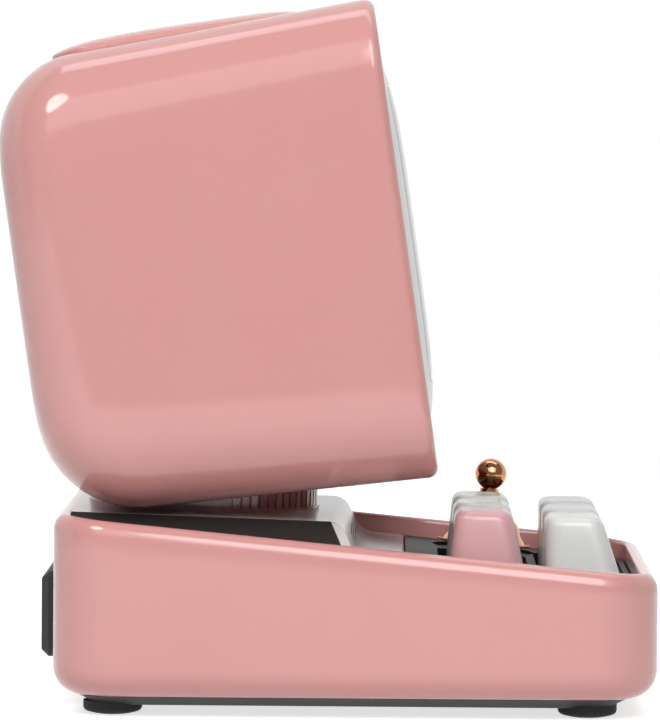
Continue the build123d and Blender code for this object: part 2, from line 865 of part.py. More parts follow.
pivot_plane = lever_plane(-pivot_depth)
pin_along_x = Plane(origin=pivot_plane.origin, x_dir=pivot_plane.y_dir, z_dir=pivot_plane.x_dir)
pin_along_y = Plane(origin=pivot_plane.origin, x_dir=pivot_plane.x_dir, z_dir=pivot_plane.y_dir)
side_plane = Plane(
    origin=key_deck.from_local_coords((*lever_spot, 0)), x_dir=(1, 0, 0), z_dir=-key_deck.y_dir
)

with BuildPart() as lever_housing:
    with BuildSketch(lever_plane(switch_bottom)):
        RectangleRounded(2 * housing_half, 2 * housing_half, 1.0)
    extrude(amount=housing_top - switch_bottom)
    with BuildSketch(lever_plane(switch_bottom + 0.8)):
        Rectangle(2 * (housing_half - housing_wall), 2 * (housing_half - housing_wall))
    extrude(amount=housing_top - switch_bottom, mode=Mode.SUBTRACT)
    with BuildSketch(pin_along_x):
        Circle(trunnion_radius + pin_gap)
    extrude(amount=2 * housing_half, both=True, mode=Mode.SUBTRACT)
write(lever_housing, "lever_housing")

with BuildPart() as lever_cradle:
    with BuildSketch(lever_plane(-pivot_depth - cradle_height / 2)):
        RectangleRounded(2 * cradle_half, 2 * cradle_half, 0.8)
        Rectangle(2 * cradle_hub, 2 * cradle_hub, mode=Mode.SUBTRACT)
    extrude(amount=cradle_height)
    for way in (-1, 1):
        with BuildSketch(pin_along_x.offset(way * (cradle_half - 0.4))):
            Circle(trunnion_radius)
        extrude(amount=way * (housing_half - cradle_half + 0.3))
    with BuildSketch(pin_along_y):
        Circle(trunnion_radius + pin_gap)
    extrude(amount=2 * cradle_half, both=True, mode=Mode.SUBTRACT)
write(lever_cradle, "lever_cradle")

with BuildPart() as lever_stem:
    with BuildSketch(lever_plane(-pivot_depth - cradle_height / 2)):
        RectangleRounded(2 * hub_half, 2 * hub_half, 0.5)
    extrude(amount=cradle_height)
    with BuildSketch(pin_along_y.offset(-(cradle_half - 0.1))):
        Circle(trunnion_radius)
    extrude(amount=2 * (cradle_half - 0.1))
    with BuildSketch(pivot_plane):
        Circle(lever_stem_radius)
    extrude(amount=ball_height + pivot_depth)
write(lever_stem, "lever_stem")

# The bell ends just under the ball, which meets the stem there.
bell_top = ball_height - math.sqrt(ball_radius**2 - lever_stem_radius**2) - pin_gap
with BuildPart() as lever_bell:
    with BuildSketch(side_plane):
        with BuildLine():
            outer_curve = Spline(
                (bell_rim_radius - 0.9, bell_lift + bell_rim_thickness),
                (6.5, 2.6),
                (5.75, 4.6),
                (4.1, 6.1),
                (2.65, 7.6),
                (1.87, 9.1),
                (1.65, bell_top),
                tangents=((-1, 0.35), (0, 1)),
            )
            Line((1.65, bell_top), (lever_stem_radius, bell_top))
            Line((lever_stem_radius, bell_top), (lever_stem_radius, 8.2))
            Line((lever_stem_radius, 8.2), (2.2, 5.6))
            Spline((2.2, 5.6), (4.6, 3.4), (5.7, bell_lift), tangents=((1, -0.5), (0.1, -1)))
            Line((5.7, bell_lift), (bell_rim_radius, bell_lift))
            Line((bell_rim_radius, bell_lift), (bell_rim_radius, bell_lift + bell_rim_thickness))
            Line(
                (bell_rim_radius, bell_lift + bell_rim_thickness),
                (bell_rim_radius - 0.9, bell_lift + bell_rim_thickness),
            )
        make_face()
    revolve(axis=Axis(side_plane.origin, key_deck.z_dir))
write(lever_bell, "lever_bell")

with BuildPart() as lever_ball:
    with Locations(Location(lever_plane(ball_height).origin)):
        Sphere(ball_radius)
    with BuildSketch(lever_plane(ball_height - 2 * ball_radius)):
        Circle(lever_stem_radius)
    extrude(amount=2 * ball_radius, mode=Mode.SUBTRACT)
write(lever_ball, "lever_ball")

# ---------------------------------------------------------------------------------------------------------
# Head shell and its roof panel
# ---------------------------------------------------------------------------------------------------------


rear_depth = head_depth - head_wall
loft_steps = 10


def corner_loss(radius, depth, reach):
    """How far a rounded rear corner has drawn in by a depth behind the face."""
    past = min(max(depth - (reach - radius), 0.0), radius)
    return radius - math.sqrt(radius**2 - past**2)


def head_outline(depth, inset):
    """Outline of the head at a depth behind its face, drawn in by an inset."""
    reach = head_depth - inset
    side = head_width / 2 - inset - corner_loss(head_side_round - inset, depth, reach)
    top = head_top - inset - roof_fall * depth / head_depth
    top -= corner_loss(head_top_round - inset, depth, reach)
    bottom = head_bottom - inset - floor_rise * depth / head_depth
    bottom -= corner_loss(head_bottom_round - inset, depth, reach)
    low_top = top - head_crown * side / head_width * 2
    low_bottom = bottom - head_crown * side / head_width * 2
    in_side = side - head_side_crown
    middle = (top - bottom) / 2
    radius = max(head_corner + 2.0 * depth / head_depth - inset - 0.75 * (head_width / 2 - inset - side), 2.4)
    with BuildSketch() as outline:
        with BuildLine():
            ThreePointArc((-in_side, low_top), (0, top), (in_side, low_top))
            ThreePointArc((in_side, low_top), (side, middle), (in_side, -low_bottom))
            ThreePointArc((in_side, -low_bottom), (0, -bottom), (-in_side, -low_bottom))
            ThreePointArc((-in_side, -low_bottom), (-side, middle), (-in_side, low_top))
        make_face()
        fillet(outline.vertices(), radius)
    return outline.sketch


def head_form(inset, front):
    """The head's solid form, drawn in by an inset; front is how far ahead of the face it starts."""
    radius = max(head_top_round, head_bottom_round, head_side_round) - inset
    round_start = head_depth - inset - radius
    step = radius * math.pi / 2 / loft_steps
    straight_end = round_start - 2 * step
    depths = [straight_end, round_start - step]
    depths += [round_start + radius * math.sin(math.pi / 2 * n / loft_steps) for n in range(loft_steps + 1)]
    with BuildPart() as form:
        for depth in (-front, straight_end):
            with BuildSketch(face_plane.offset(-depth)):
                add(head_outline(depth, inset))
        loft(ruled=True)
        for depth in depths:
            with BuildSketch(face_plane.offset(-depth)):
                add(head_outline(depth, inset))
        loft()
    return form


head_solid = head_form(0.0, 0.0)
head_cavity = head_form(head_wall, 1.0)
speaker_v = (head_top - roof_fall - head_top_round - head_bottom + floor_rise + head_bottom_round) / 2
rear_inside = moved(face_plane, 0, speaker_v, -rear_depth)
speaker_screw_spots = [(x * speaker_screw_offset, y * speaker_screw_offset) for x in (-1, 1) for y in (-1, 1)]

with BuildPart() as head_shell:
    add(head_solid.part)
    fillet(head_shell.faces().filter_by(face_plane).sort_by(Axis.Y)[0].edges(), face_round)
    add(head_cavity.part, mode=Mode.SUBTRACT)
    front_rim = head_shell.faces().filter_by(face_plane).sort_by(Axis.Y)[0]
    fillet(front_rim.inner_wires()[0].edges(), rim_edge_round)
    # Openings for the rear grille, the speaker's screws and the neck's tube
    with BuildSketch(rear_inside):
        RectangleRounded(grille_side, grille_side, grille_corner)
    extrude(amount=-2 * head_wall, mode=Mode.SUBTRACT)
    with BuildSketch(rear_inside):
        with Locations(*speaker_screw_spots):
            Circle(0.8)
    extrude(amount=-1.6, mode=Mode.SUBTRACT)
    with BuildSketch(neck_foot):
        Circle(post_tube_radius + fit_gap)
    extrude(amount=post_length, mode=Mode.SUBTRACT)
write(head_shell, "head_shell")

roof_axis = Axis(head_roof.origin, head_roof.z_dir)
with BuildPart() as top_plate:
    with BuildSketch(head_side.offset(-top_plate_width / 2)):
        with BuildLine():
            roof_line = Spline(*top_plate_profile)
            Polyline(roof_line @ 1, (top_plate_profile[-1][0], 20), (top_plate_profile[0][0], 20), roof_line @ 0)
        make_face()
    extrude(amount=top_plate_width)
    fillet(top_plate.edges().filter_by(roof_axis), top_plate_corner)
    fillet(top_plate.faces().sort_by(roof_axis)[-1].edges(), top_plate_round)
    add(head_solid.part, mode=Mode.SUBTRACT)
write(top_plate, "top_plate")

# ---------------------------------------------------------------------------------------------------------
# Front of the head: fascia, window and light-emitting diodes
# ---------------------------------------------------------------------------------------------------------


def dome(x, v):
    """Height of the front's domed surface above the rim plane."""
    across = abs(x) / dome_half_width
    up = abs(v - dome_middle) / dome_half_height
    return dome_height * (1 - across**4 - up**5)


def dome_point(x, v):
    return face_plane.from_local_coords((x, v, dome(x, v)))


dome_steps = [n / 8 for n in range(-8, 9)]
dome_face = Face.make_surface_from_array_of_points(
    [[dome_point(43.0 * a, 41.0 * b) for b in dome_steps] for a in dome_steps]
)


def window_outline(grow=0.0):
    RectangleRounded(window_width + 2 * grow, window_height + 2 * grow, window_corner + grow)


with BuildPart() as fascia_form:
    extrude(dome_face, amount=24.0, dir=-face_plane.z_dir)
    with BuildSketch(face_plane.offset(-fascia_back_depth)):
        add(head_outline(fascia_back_depth, head_wall + fit_gap))
    extrude(amount=fascia_back_depth + 4.0, mode=Mode.INTERSECT)

board_width = led_count * led_pitch + 2 * led_board_margin
with BuildPart() as front_fascia:
    add(fascia_form.part)
    with BuildSketch(face_plane.offset(-fascia_back_depth)):
        window_outline(fit_gap)
    extrude(amount=fascia_back_depth + 4.0, mode=Mode.SUBTRACT)
    with BuildSketch(face_plane.offset(-fascia_back_depth)):
        RectangleRounded(pocket_width, pocket_height, 2.0)
    extrude(amount=fascia_back_depth - window_back, mode=Mode.SUBTRACT)
write(front_fascia, "front_fascia")

with BuildPart() as display_window:
    extrude(dome_face, amount=24.0, dir=-face_plane.z_dir)
    with BuildSketch(face_plane.offset(-window_back)):
        window_outline()
    extrude(amount=window_back + 4.0, mode=Mode.INTERSECT)
write(display_window, "display_window")

grid_front = window_back + fit_gap
with BuildPart() as light_grid:
    with BuildSketch(face_plane.offset(-grid_front)):
        Rectangle(board_width, board_width)
        with GridLocations(led_pitch, led_pitch, led_count, led_count):
            Rectangle(led_cell, led_cell, mode=Mode.SUBTRACT)
    extrude(amount=-grid_thickness)
write(light_grid, "light_grid")

with BuildPart() as led_board:
    with BuildSketch(face_plane.offset(-grid_front - grid_thickness)):
        RectangleRounded(pocket_width - 2 * fit_gap, pocket_height - 2 * fit_gap, 2.0 - fit_gap)
    extrude(amount=-led_board_thickness)
write(led_board, "led_board")

# ---------------------------------------------------------------------------------------------------------
# Speaker behind its grille
# ---------------------------------------------------------------------------------------------------------


rear_outside = moved(face_plane, 0, speaker_v, -head_depth)


def grille_row_length(row):
    """Length of one slot, kept an even distance inside the grille's outline."""
    past = abs(row) * grille_slot_pitch + grille_slot_width / 2 - (grille_side / 2 - grille_corner)
    loss = grille_corner - math.sqrt(grille_corner**2 - max(past, 0.0) ** 2)
    return grille_side - 2 * loss - 2 * grille_rim


with BuildPart() as rear_grille:
    with BuildSketch(rear_outside):
        RectangleRounded(grille_side - 2 * fit_gap, grille_side - 2 * fit_gap, grille_corner - fit_gap)
        for row in range(-(grille_slots // 2), grille_slots // 2 + 1):
            with Locations((0, row * grille_slot_pitch)):
                SlotOverall(grille_row_length(row), grille_slot_width, mode=Mode.SUBTRACT)
    extrude(amount=grille_thickness)
    with BuildSketch(rear_outside.offset(grille_thickness)):
        RectangleRounded(grille_side - 2 * fit_gap, grille_side - 2 * fit_gap, grille_corner - fit_gap)
        RectangleRounded(grille_side - 3.0, grille_side - 3.0, grille_corner - 1.5, mode=Mode.SUBTRACT)
    extrude(amount=head_wall - grille_thickness)
write(rear_grille, "rear_grille")

with BuildPart() as speaker_gasket:
    with BuildSketch(rear_inside):
        RectangleRounded(speaker_side, speaker_side, 3.0)
        Circle(cone_radius + 1.0, mode=Mode.SUBTRACT)
        with Locations(*speaker_screw_spots):
            Circle(0.8 + fit_gap, mode=Mode.SUBTRACT)
    extrude(amount=gasket_thickness)
write(speaker_gasket, "speaker_gasket")

basket_plane = rear_inside.offset(gasket_thickness)
magnet_plane = basket_plane.offset(basket_depth)
with BuildPart() as speaker_frame:
    with BuildSketch(basket_plane):
        RectangleRounded(speaker_side, speaker_side, 3.0)
    extrude(amount=speaker_plate)
    with BuildSketch(basket_plane.offset(speaker_plate)):
        Circle(cone_radius + 1.6)
    with BuildSketch(magnet_plane):
        Circle(magnet_radius)
    loft()
    with BuildSketch(basket_plane):
        Circle(cone_radius)
    with BuildSketch(magnet_plane.offset(-1.2)):
        Circle(magnet_radius - 2.0)
    loft(mode=Mode.SUBTRACT)
    with BuildSketch(basket_plane):
        with Locations(*speaker_screw_spots):
            Circle(0.8 + fit_gap)
    extrude(amount=speaker_plate, mode=Mode.SUBTRACT)
    # Four windows in the basket
    with BuildSketch(basket_plane.offset(speaker_plate + 2.0)):
        with PolarLocations(magnet_radius + 1.0, 4):
            Rectangle(12.0, 8.0)
    extrude(amount=basket_depth - speaker_plate - 4.4, mode=Mode.SUBTRACT)
write(speaker_frame, "speaker_frame")

with BuildPart() as speaker_magnet:
    with BuildSketch(magnet_plane):
        Circle(magnet_radius - 0.6)
    extrude(amount=magnet_height)
    chamfer(speaker_magnet.faces().sort_by(Axis(magnet_plane.origin, magnet_plane.z_dir))[-1].edges(), 0.8)
write(speaker_magnet, "speaker_magnet")

speaker_side_view = Plane(origin=basket_plane.origin, x_dir=(1, 0, 0), z_dir=-face_plane.y_dir)
with BuildPart() as speaker_cone:
    with BuildSketch(speaker_side_view):
        with BuildLine():
            edge = cone_radius - 0.75
            Spline((0, 3.2), (3.2, 3.8), (6.0, 5.6), tangents=((1, 0), (0.7, 0.7)))
            Line((6.0, 5.6), (edge - 4.2, 1.6))
            Spline((edge - 4.2, 1.6), (edge - 2.6, 0.5), (edge - 1.0, 1.2), tangents=((1, -0.5), (1, 0.8)))
            Line((edge - 1.0, 1.2), (edge - 1.0, 1.8))
            Spline((edge - 1.0, 1.8), (edge - 2.6, 1.1), (edge - 4.0, 2.2), tangents=((-1, -0.8), (-1, 0.5)))
            Line((edge - 4.0, 2.2), (6.2, 6.3))
            Spline((6.2, 6.3), (3.1, 4.4), (0, 3.8), tangents=((-0.7, -0.7), (-1, 0)))
            Line((0, 3.8), (0, 3.2))
        make_face()
    revolve(axis=Axis(basket_plane.origin, basket_plane.z_dir))
write(speaker_cone, "speaker_cone")

with BuildPart() as speaker_screws:
    with BuildSketch(rear_inside.offset(-1.5)):
        with Locations(*speaker_screw_spots):
            Circle(0.8 - pin_gap)
    extrude(amount=1.5 + gasket_thickness + speaker_plate)
    with BuildSketch(basket_plane.offset(speaker_plate)):
        with Locations(*speaker_screw_spots):
            Circle(1.6)
    extrude(amount=1.0)
write(speaker_screws, "speaker_screws")

# ---------------------------------------------------------------------------------------------------------
# Neck
# ---------------------------------------------------------------------------------------------------------


with BuildPart() as neck_collar:
    with BuildSketch(neck_foot):
        Circle(neck_radius + neck_flange)
    extrude(amount=neck_band)
    with BuildSketch(neck_foot.offset(neck_band)):
        Circle(neck_radius)
        with PolarLocations(neck_radius, neck_ribs):
            Rectangle(2 * neck_rib_depth, neck_groove, mode=Mode.SUBTRACT)
    extrude(amount=neck_length)
    with BuildSketch(neck_foot):
        Circle(neck_radius - neck_wall)
    extrude(amount=neck_length + neck_band, mode=Mode.SUBTRACT)
    add(head_solid.part, mode=Mode.SUBTRACT)
write(neck_collar, "neck_collar")

post_foot = neck_foot.offset(-deck_thickness - post_flange_thickness)
with BuildPart() as neck_post:
    with BuildSketch(post_foot):
        Circle(post_flange_radius)
    extrude(amount=post_flange_thickness)
    with BuildSketch(post_foot):
        Circle(post_tube_radius)
    extrude(amount=post_length + deck_thickness + post_flange_thickness)
    with BuildSketch(post_foot):
        Circle(post_bore_radius)
    extrude(amount=2 * post_length, mode=Mode.SUBTRACT)
write(neck_post, "neck_post")

with BuildPart() as neck_washer:
    with BuildSketch(neck_foot):
        Circle(nut_radius + 1.5)
    extrude(amount=washer_top)
    add(head_cavity.part, mode=Mode.INTERSECT)
    with BuildSketch(neck_foot):
        Circle(post_tube_radius + fit_gap)
    extrude(amount=post_length, mode=Mode.SUBTRACT)
write(neck_washer, "neck_washer")

with BuildPart() as neck_nut:
    with BuildSketch(neck_foot.offset(washer_top)):
        RegularPolygon(nut_radius, 6)
        Circle(post_tube_radius + pin_gap, mode=Mode.SUBTRACT)
    extrude(amount=nut_height)
write(neck_nut, "neck_nut")

# ---------------------------------------------------------------------------------------------------------
# Ports, main board and battery
# ---------------------------------------------------------------------------------------------------------


port_face_y = base_rear_y + port_proud
port_inner = Plane.XZ.offset(-base_rear_y)
port_outer = Plane.XZ.offset(-port_face_y)
usb_z = main_board_top_z + usb_height / 2
card_z = main_board_top_z + card_height / 2
knob_z = main_board_top_z + switch_body[2] / 2

with BuildPart() as port_block:
    with BuildSketch(port_inner):
        with Locations((0, port_middle_z)):
            RectangleRounded(port_width, port_height, port_corner)
    extrude(amount=-port_proud)
    chamfer(port_block.faces().sort_by(Axis.Y)[-1].edges(), port_bevel)
    with BuildSketch(port_inner):
        with Locations((0, port_middle_z)):
            RectangleRounded(port_width - 3.0 - 2 * fit_gap, port_height - 3.0 - 2 * fit_gap, port_corner)
    extrude(amount=port_plug)
    with BuildSketch(port_inner.offset(port_face - port_proud)):
        with Locations((0, port_middle_z)):
            RectangleRounded(main_board_width + 2 * fit_gap, port_height - 6.0, 0.6)
    extrude(amount=port_plug, mode=Mode.SUBTRACT)
    # Openings for the sockets and the power switch
    with BuildSketch(port_outer):
        with Locations((-usb_x, usb_z)):
            RectangleRounded(usb_width + 2 * fit_gap, usb_height + 2 * fit_gap, usb_height / 2)
        with Locations((-card_x, card_z)):
            Rectangle(card_width + 2 * fit_gap, card_height + 2 * fit_gap)
        with Locations((-power_x, knob_z)):
            Rectangle(power_knob[0] + power_travel + 0.6, power_knob[2] + 0.4)
    extrude(amount=2 * port_face, mode=Mode.SUBTRACT)
write(port_block, "port_block")

with BuildPart() as main_board:
    with BuildSketch(Plane.XY.offset(main_board_top_z)):
        with Locations((0, board_rear_y - main_board_depth / 2)):
            Rectangle(main_board_width, main_board_depth)
    extrude(amount=-board_thickness)
write(main_board, "main_board")

with BuildPart() as usb_socket:
    with BuildSketch(port_outer.offset(0.4)):
        with Locations((-usb_x, usb_z)):
            RectangleRounded(usb_width, usb_height, usb_height / 2 - 0.01)
    extrude(amount=usb_length)
    with BuildSketch(port_outer.offset(0.4)):
        with Locations((-usb_x, usb_z)):
            RectangleRounded(usb_width - 0.6, usb_height - 0.6, usb_height / 2 - 0.32)
    extrude(amount=usb_length - 1.0, mode=Mode.SUBTRACT)
    with BuildSketch(port_outer.offset(1.2)):
        with Locations((-usb_x, usb_z)):
            Rectangle(usb_width - 2.4, 0.7)
    extrude(amount=usb_length - 1.2)
write(usb_socket, "usb_socket")

with BuildPart() as card_socket:
    with BuildSketch(port_outer.offset(port_face * 0.6)):
        with Locations((-card_x, card_z)):
            Rectangle(card_width, card_height)
    extrude(amount=card_length)
    with BuildSketch(port_outer.offset(port_face * 0.6)):
        with Locations((-card_x, card_z)):
            Rectangle(card_width - 0.8, card_height - 0.7)
    extrude(amount=card_length - 0.8, mode=Mode.SUBTRACT)
write(card_socket, "card_socket")

switch_front = port_outer.offset(port_face + fit_gap)
with BuildPart() as power_switch:
    with BuildSketch(switch_front):
        with Locations((-power_x, knob_z)):
            Rectangle(switch_body[0], switch_body[2])
    extrude(amount=switch_body[1])
    with BuildSketch(switch_front):
        with Locations((-power_x, knob_z)):
            Rectangle(power_knob[0] + power_travel + 0.5, power_knob[2] + 2 * slide_gap)
    extrude(amount=2.0, mode=Mode.SUBTRACT)
write(power_switch, "power_switch")

with BuildPart() as power_slider:
    with BuildSketch(switch_front.offset(1.9)):
        with Locations((-power_x - power_travel / 2, knob_z)):
            Rectangle(power_knob[0], power_knob[2])
    extrude(amount=-(power_knob[1] + 1.9))
write(power_slider, "power_slider")

with BuildPart() as battery:
    with BuildSketch(Plane.YZ.offset(-battery_length / 2)):
        with Locations((battery_y, floor_z + 1.0 + battery_radius)):
            Circle(battery_radius)
    extrude(amount=battery_length)
    fillet(battery.edges().filter_by(GeomType.CIRCLE), 0.8)
write(battery, "battery")
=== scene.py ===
# %% [markdown]
# # A desktop speaker with a light-matrix display, in the shape of a small retro computer
#
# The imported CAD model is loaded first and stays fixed. It gives every piece its place and every
# moving piece its body. This script adds the camera, the light and the finishes. It also makes
# smooth skins for the crowned and polished pieces, because a long reflection in a glossy surface
# shows every flat facet of a CAD mesh.

import json
import math

import bmesh
import bpy
from mathutils import Matrix, Vector


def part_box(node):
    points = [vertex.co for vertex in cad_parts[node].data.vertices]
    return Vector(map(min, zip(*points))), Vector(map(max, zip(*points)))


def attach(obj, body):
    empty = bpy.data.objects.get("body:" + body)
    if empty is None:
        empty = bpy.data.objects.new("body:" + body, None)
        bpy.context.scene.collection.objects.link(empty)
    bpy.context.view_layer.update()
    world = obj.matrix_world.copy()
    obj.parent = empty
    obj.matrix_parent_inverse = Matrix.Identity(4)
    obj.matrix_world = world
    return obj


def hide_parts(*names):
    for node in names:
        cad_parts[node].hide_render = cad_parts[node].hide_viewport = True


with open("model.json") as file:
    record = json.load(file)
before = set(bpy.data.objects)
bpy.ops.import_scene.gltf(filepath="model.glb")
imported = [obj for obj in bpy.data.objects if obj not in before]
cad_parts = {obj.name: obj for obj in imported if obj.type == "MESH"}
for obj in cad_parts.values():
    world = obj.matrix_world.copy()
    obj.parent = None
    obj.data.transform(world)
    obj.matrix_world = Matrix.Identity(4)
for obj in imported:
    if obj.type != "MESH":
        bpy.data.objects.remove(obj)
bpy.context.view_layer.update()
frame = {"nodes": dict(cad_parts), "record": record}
nodes = frame["nodes"]
MM = 0.001

# %% [markdown]
# ## The camera
#
# A product picture taken from a metre away with a long lens has almost no perspective. The camera
# stands beside the object's left wall, a little below the top of the head, and is tilted down by a
# few degrees. A small roll about its own axis is kept, because the object stands a hair off level.

# %% Camera
SENSOR = 36.0
FOCAL_OVER_HEIGHT = 6124 / 720  # focal length over the frame's height
camera_spot = Vector((-1067, -9.7, 105.7)) * MM
look_down = 270 / 6124  # slope of the camera's axis, downwards
look_back = 55 / 6124  # and towards the object's rear
roll = math.radians(0.41)

camera_data = bpy.data.cameras.new("camera")
camera_data.sensor_width = SENSOR
camera_data.lens = FOCAL_OVER_HEIGHT * SENSOR
camera_data.clip_start, camera_data.clip_end = 0.05, 20.0
camera = bpy.data.objects.new("camera", camera_data)
bpy.context.scene.collection.objects.link(camera)
bpy.context.scene.camera = camera
aim = Vector((1, look_back, -look_down)).normalized()
turn = aim.to_track_quat("-Z", "Y").to_matrix().to_4x4() @ Matrix.Rotation(roll, 4, "Z")
camera.matrix_world = Matrix.Translation(camera_spot) @ turn
print("lens, mm:", round(camera_data.lens, 1))

# %% [markdown]
# ## Small helpers
#
# Colours are written as sRGB hex, as a paint chart gives them, and one function turns them to the
# linear values that the renderer needs. One more function adds a shader node with its settings and
# links, so that a material reads as a short list.


# %% Helpers for materials
def linear(hex_colour):
    """An sRGB hex colour as linear RGBA."""
    parts = [int(hex_colour[i : i + 2], 16) / 255 for i in (1, 3, 5)]
    curve = [c / 12.92 if c <= 0.04045 else ((c + 0.055) / 1.055) ** 2.4 for c in parts]
    return (*curve, 1.0)


def add(tree, kind, values=None, **settings):
    """Adds a node; values maps its input sockets to numbers, colours or another node's socket."""
    made = tree.nodes.new(kind)
    for name, value in settings.items():
        setattr(made, name, value)
    for socket, value in (values or {}).items():
        if isinstance(value, bpy.types.NodeSocket):
            tree.links.new(value, made.inputs[socket])
        else:
            made.inputs[socket].default_value = value
    return made


def new_finish(name):
    """A material with an empty tree, and that tree."""
    finish = bpy.data.materials.new(name)
    finish.use_nodes = True
    finish.node_tree.nodes.clear()
    return finish, finish.node_tree


# %% [markdown]
# ## Glossy plastic
#
# The shells are ABS, injection-moulded in a polished mould. That gives one even colour, a hard
# gloss, and a very slight waviness where the plastic shrank, which bends long reflections. An image
# texture could carry this, but noise in object space costs nothing and has no seams. One unit of
# object space is a metre, so each scale is one over a real length.


# %% Polished ABS
def moulded_gloss(name, colour, deeper, roughness, waviness_um):
    """Polished-mould ABS: even colour, hard gloss, and a faint waviness in the reflections."""
    finish, tree = new_finish(name)
    place = add(tree, "ShaderNodeTexCoord").outputs["Object"]
    wave = add(tree, "ShaderNodeTexNoise", {"Vector": place, "Scale": 1 / (14 * MM), "Detail": 1.0})
    grain = add(tree, "ShaderNodeTexNoise", {"Vector": place, "Scale": 1 / (1.2 * MM), "Detail": 2.0})
    tint = add(
        tree,
        "ShaderNodeMix",
        {0: wave.outputs["Fac"], 6: linear(colour), 7: linear(deeper)},
        data_type="RGBA",
    )
    # Fine handling marks: gloss varies a little from place to place.
    polish = add(
        tree,
        "ShaderNodeMapRange",
        {"Value": grain.outputs["Fac"], "To Min": roughness * 0.85, "To Max": roughness * 1.2},
    )
    bump = add(
        tree,
        "ShaderNodeBump",
        {"Strength": 1.0, "Distance": waviness_um * 1e-6, "Height": wave.outputs["Fac"]},
    )
    shader = add(
        tree,
        "ShaderNodeBsdfPrincipled",
        {
            "Base Color": tint.outputs[2],
            "Roughness": polish.outputs["Result"],
            "IOR": 1.53,
            "Normal": bump.outputs["Normal"],
        },
    )
    add(tree, "ShaderNodeOutputMaterial", {"Surface": shader.outputs["BSDF"]})
    return finish


pink_abs = moulded_gloss("pink_abs_polished_mould", "#D79B97", "#D59894", 0.1, 3)
white_abs = moulded_gloss("off_white_abs_polished_mould", "#D9DBD7", "#D6D8D4", 0.16, 6)
pink_key_abs = moulded_gloss("pink_key_abs_satin", "#D3A3A6", "#D1A0A3", 0.22, 3)
white_key_abs = moulded_gloss("white_key_abs_satin", "#DCDEDC", "#D9DBD9", 0.22, 3)
print("glossy plastics:", pink_abs.name, white_abs.name, pink_key_abs.name, white_key_abs.name)

# %% [markdown]
# ## Matt plastic, rubber and foam
#
# The dark parts come from a spark-eroded mould, which prints a fine even grain into them and takes
# away the gloss. Rubber is rougher and paler at grazing angles. Foam is full of small cells. The
# same recipe serves all three: a grain of a real size drives a small change of colour and a bump.
# The real grain is about 0.05 mm. It is drawn several times coarser, from 0.35 mm on the plastic to
# 1.1 mm on the paper, so that a render shows it.


# %% Grained finishes
def grained(name, colour, paler, roughness, grain_mm, depth_mm):
    """A matt surface with an even grain that scatters the light."""
    finish, tree = new_finish(name)
    place = add(tree, "ShaderNodeTexCoord").outputs["Object"]
    grain = add(
        tree, "ShaderNodeTexNoise", {"Vector": place, "Scale": 1 / (grain_mm * MM), "Detail": 3.0}
    )
    tint = add(
        tree,
        "ShaderNodeMix",
        {0: grain.outputs["Fac"], 6: linear(colour), 7: linear(paler)},
        data_type="RGBA",
    )
    bump = add(
        tree,
        "ShaderNodeBump",
        {"Strength": 0.4, "Distance": depth_mm * MM, "Height": grain.outputs["Fac"]},
    )
    shader = add(
        tree,
        "ShaderNodeBsdfPrincipled",
        {
            "Base Color": tint.outputs[2],
            "Roughness": roughness,
            "IOR": 1.5,
            "Normal": bump.outputs["Normal"],
        },
    )
    add(tree, "ShaderNodeOutputMaterial", {"Surface": shader.outputs["BSDF"]})
    return finish


charcoal_abs = grained("charcoal_abs_spark_eroded", "#1D1D1C", "#282827", 0.55, 0.35, 0.04)
black_nylon = grained("black_nylon_moulded", "#171717", "#212121", 0.45, 0.5, 0.03)
foot_rubber = grained("black_rubber_moulded", "#222221", "#2E2E2D", 0.8, 0.6, 0.05)
gasket_foam = grained("black_foam_open_cell", "#1F1F1F", "#323232", 0.95, 0.7, 0.3)
paper_pulp = grained("cone_paper_pressed_pulp", "#1B1B1C", "#2D2D2D", 0.75, 1.1, 0.08)
print("grained finishes:", charcoal_abs.name, black_nylon.name, foot_rubber.name)

# %% [markdown]
# ## Metals
#
# The lever is copper-plated and polished, so it mirrors the studio. The screws and sockets are plain
# steel, the neck's tube and nut are turned aluminium, and the magnet's pot is zinc-plated. A metal
# has no colour of its own under its mirror, so only its tint and the size of its marks differ.


# %% Bare metals
def metal(name, colour, roughness, mark_mm):
    """A bare metal whose fine marks vary its roughness."""
    finish, tree = new_finish(name)
    place = add(tree, "ShaderNodeTexCoord").outputs["Object"]
    marks = add(
        tree, "ShaderNodeTexNoise", {"Vector": place, "Scale": 1 / (mark_mm * MM), "Detail": 4.0}
    )
    polish = add(
        tree,
        "ShaderNodeMapRange",
        {"Value": marks.outputs["Fac"], "To Min": roughness * 0.7, "To Max": roughness * 1.4},
    )
    shader = add(
        tree,
        "ShaderNodeBsdfPrincipled",
        {"Base Color": linear(colour), "Metallic": 1.0, "Roughness": polish.outputs["Result"]},
    )
    add(tree, "ShaderNodeOutputMaterial", {"Surface": shader.outputs["BSDF"]})
    return finish


copper_plate = metal("copper_plating_polished", "#C98E66", 0.08, 1.5)
steel = metal("steel_machined", "#B4B6B8", 0.3, 0.8)
aluminium = metal("aluminium_turned", "#C4C6C8", 0.32, 0.8)
zinc_plate = metal("zinc_plating_dull", "#9A9DA1", 0.45, 2.0)
print("metals:", copper_plate.name, steel.name, aluminium.name, zinc_plate.name)

# %% [markdown]
# ## Lens, circuit board and battery sleeve
#
# The display's window is cast acrylic with a dark dye, polished on both sides: light goes in, but
# only a little comes back, so it looks black with a clear mirror on it. A circuit board is glass
# fibre under a green lacquer, whose copper tracks show as paler lines. The battery wears a tight
# sleeve of blue PVC.


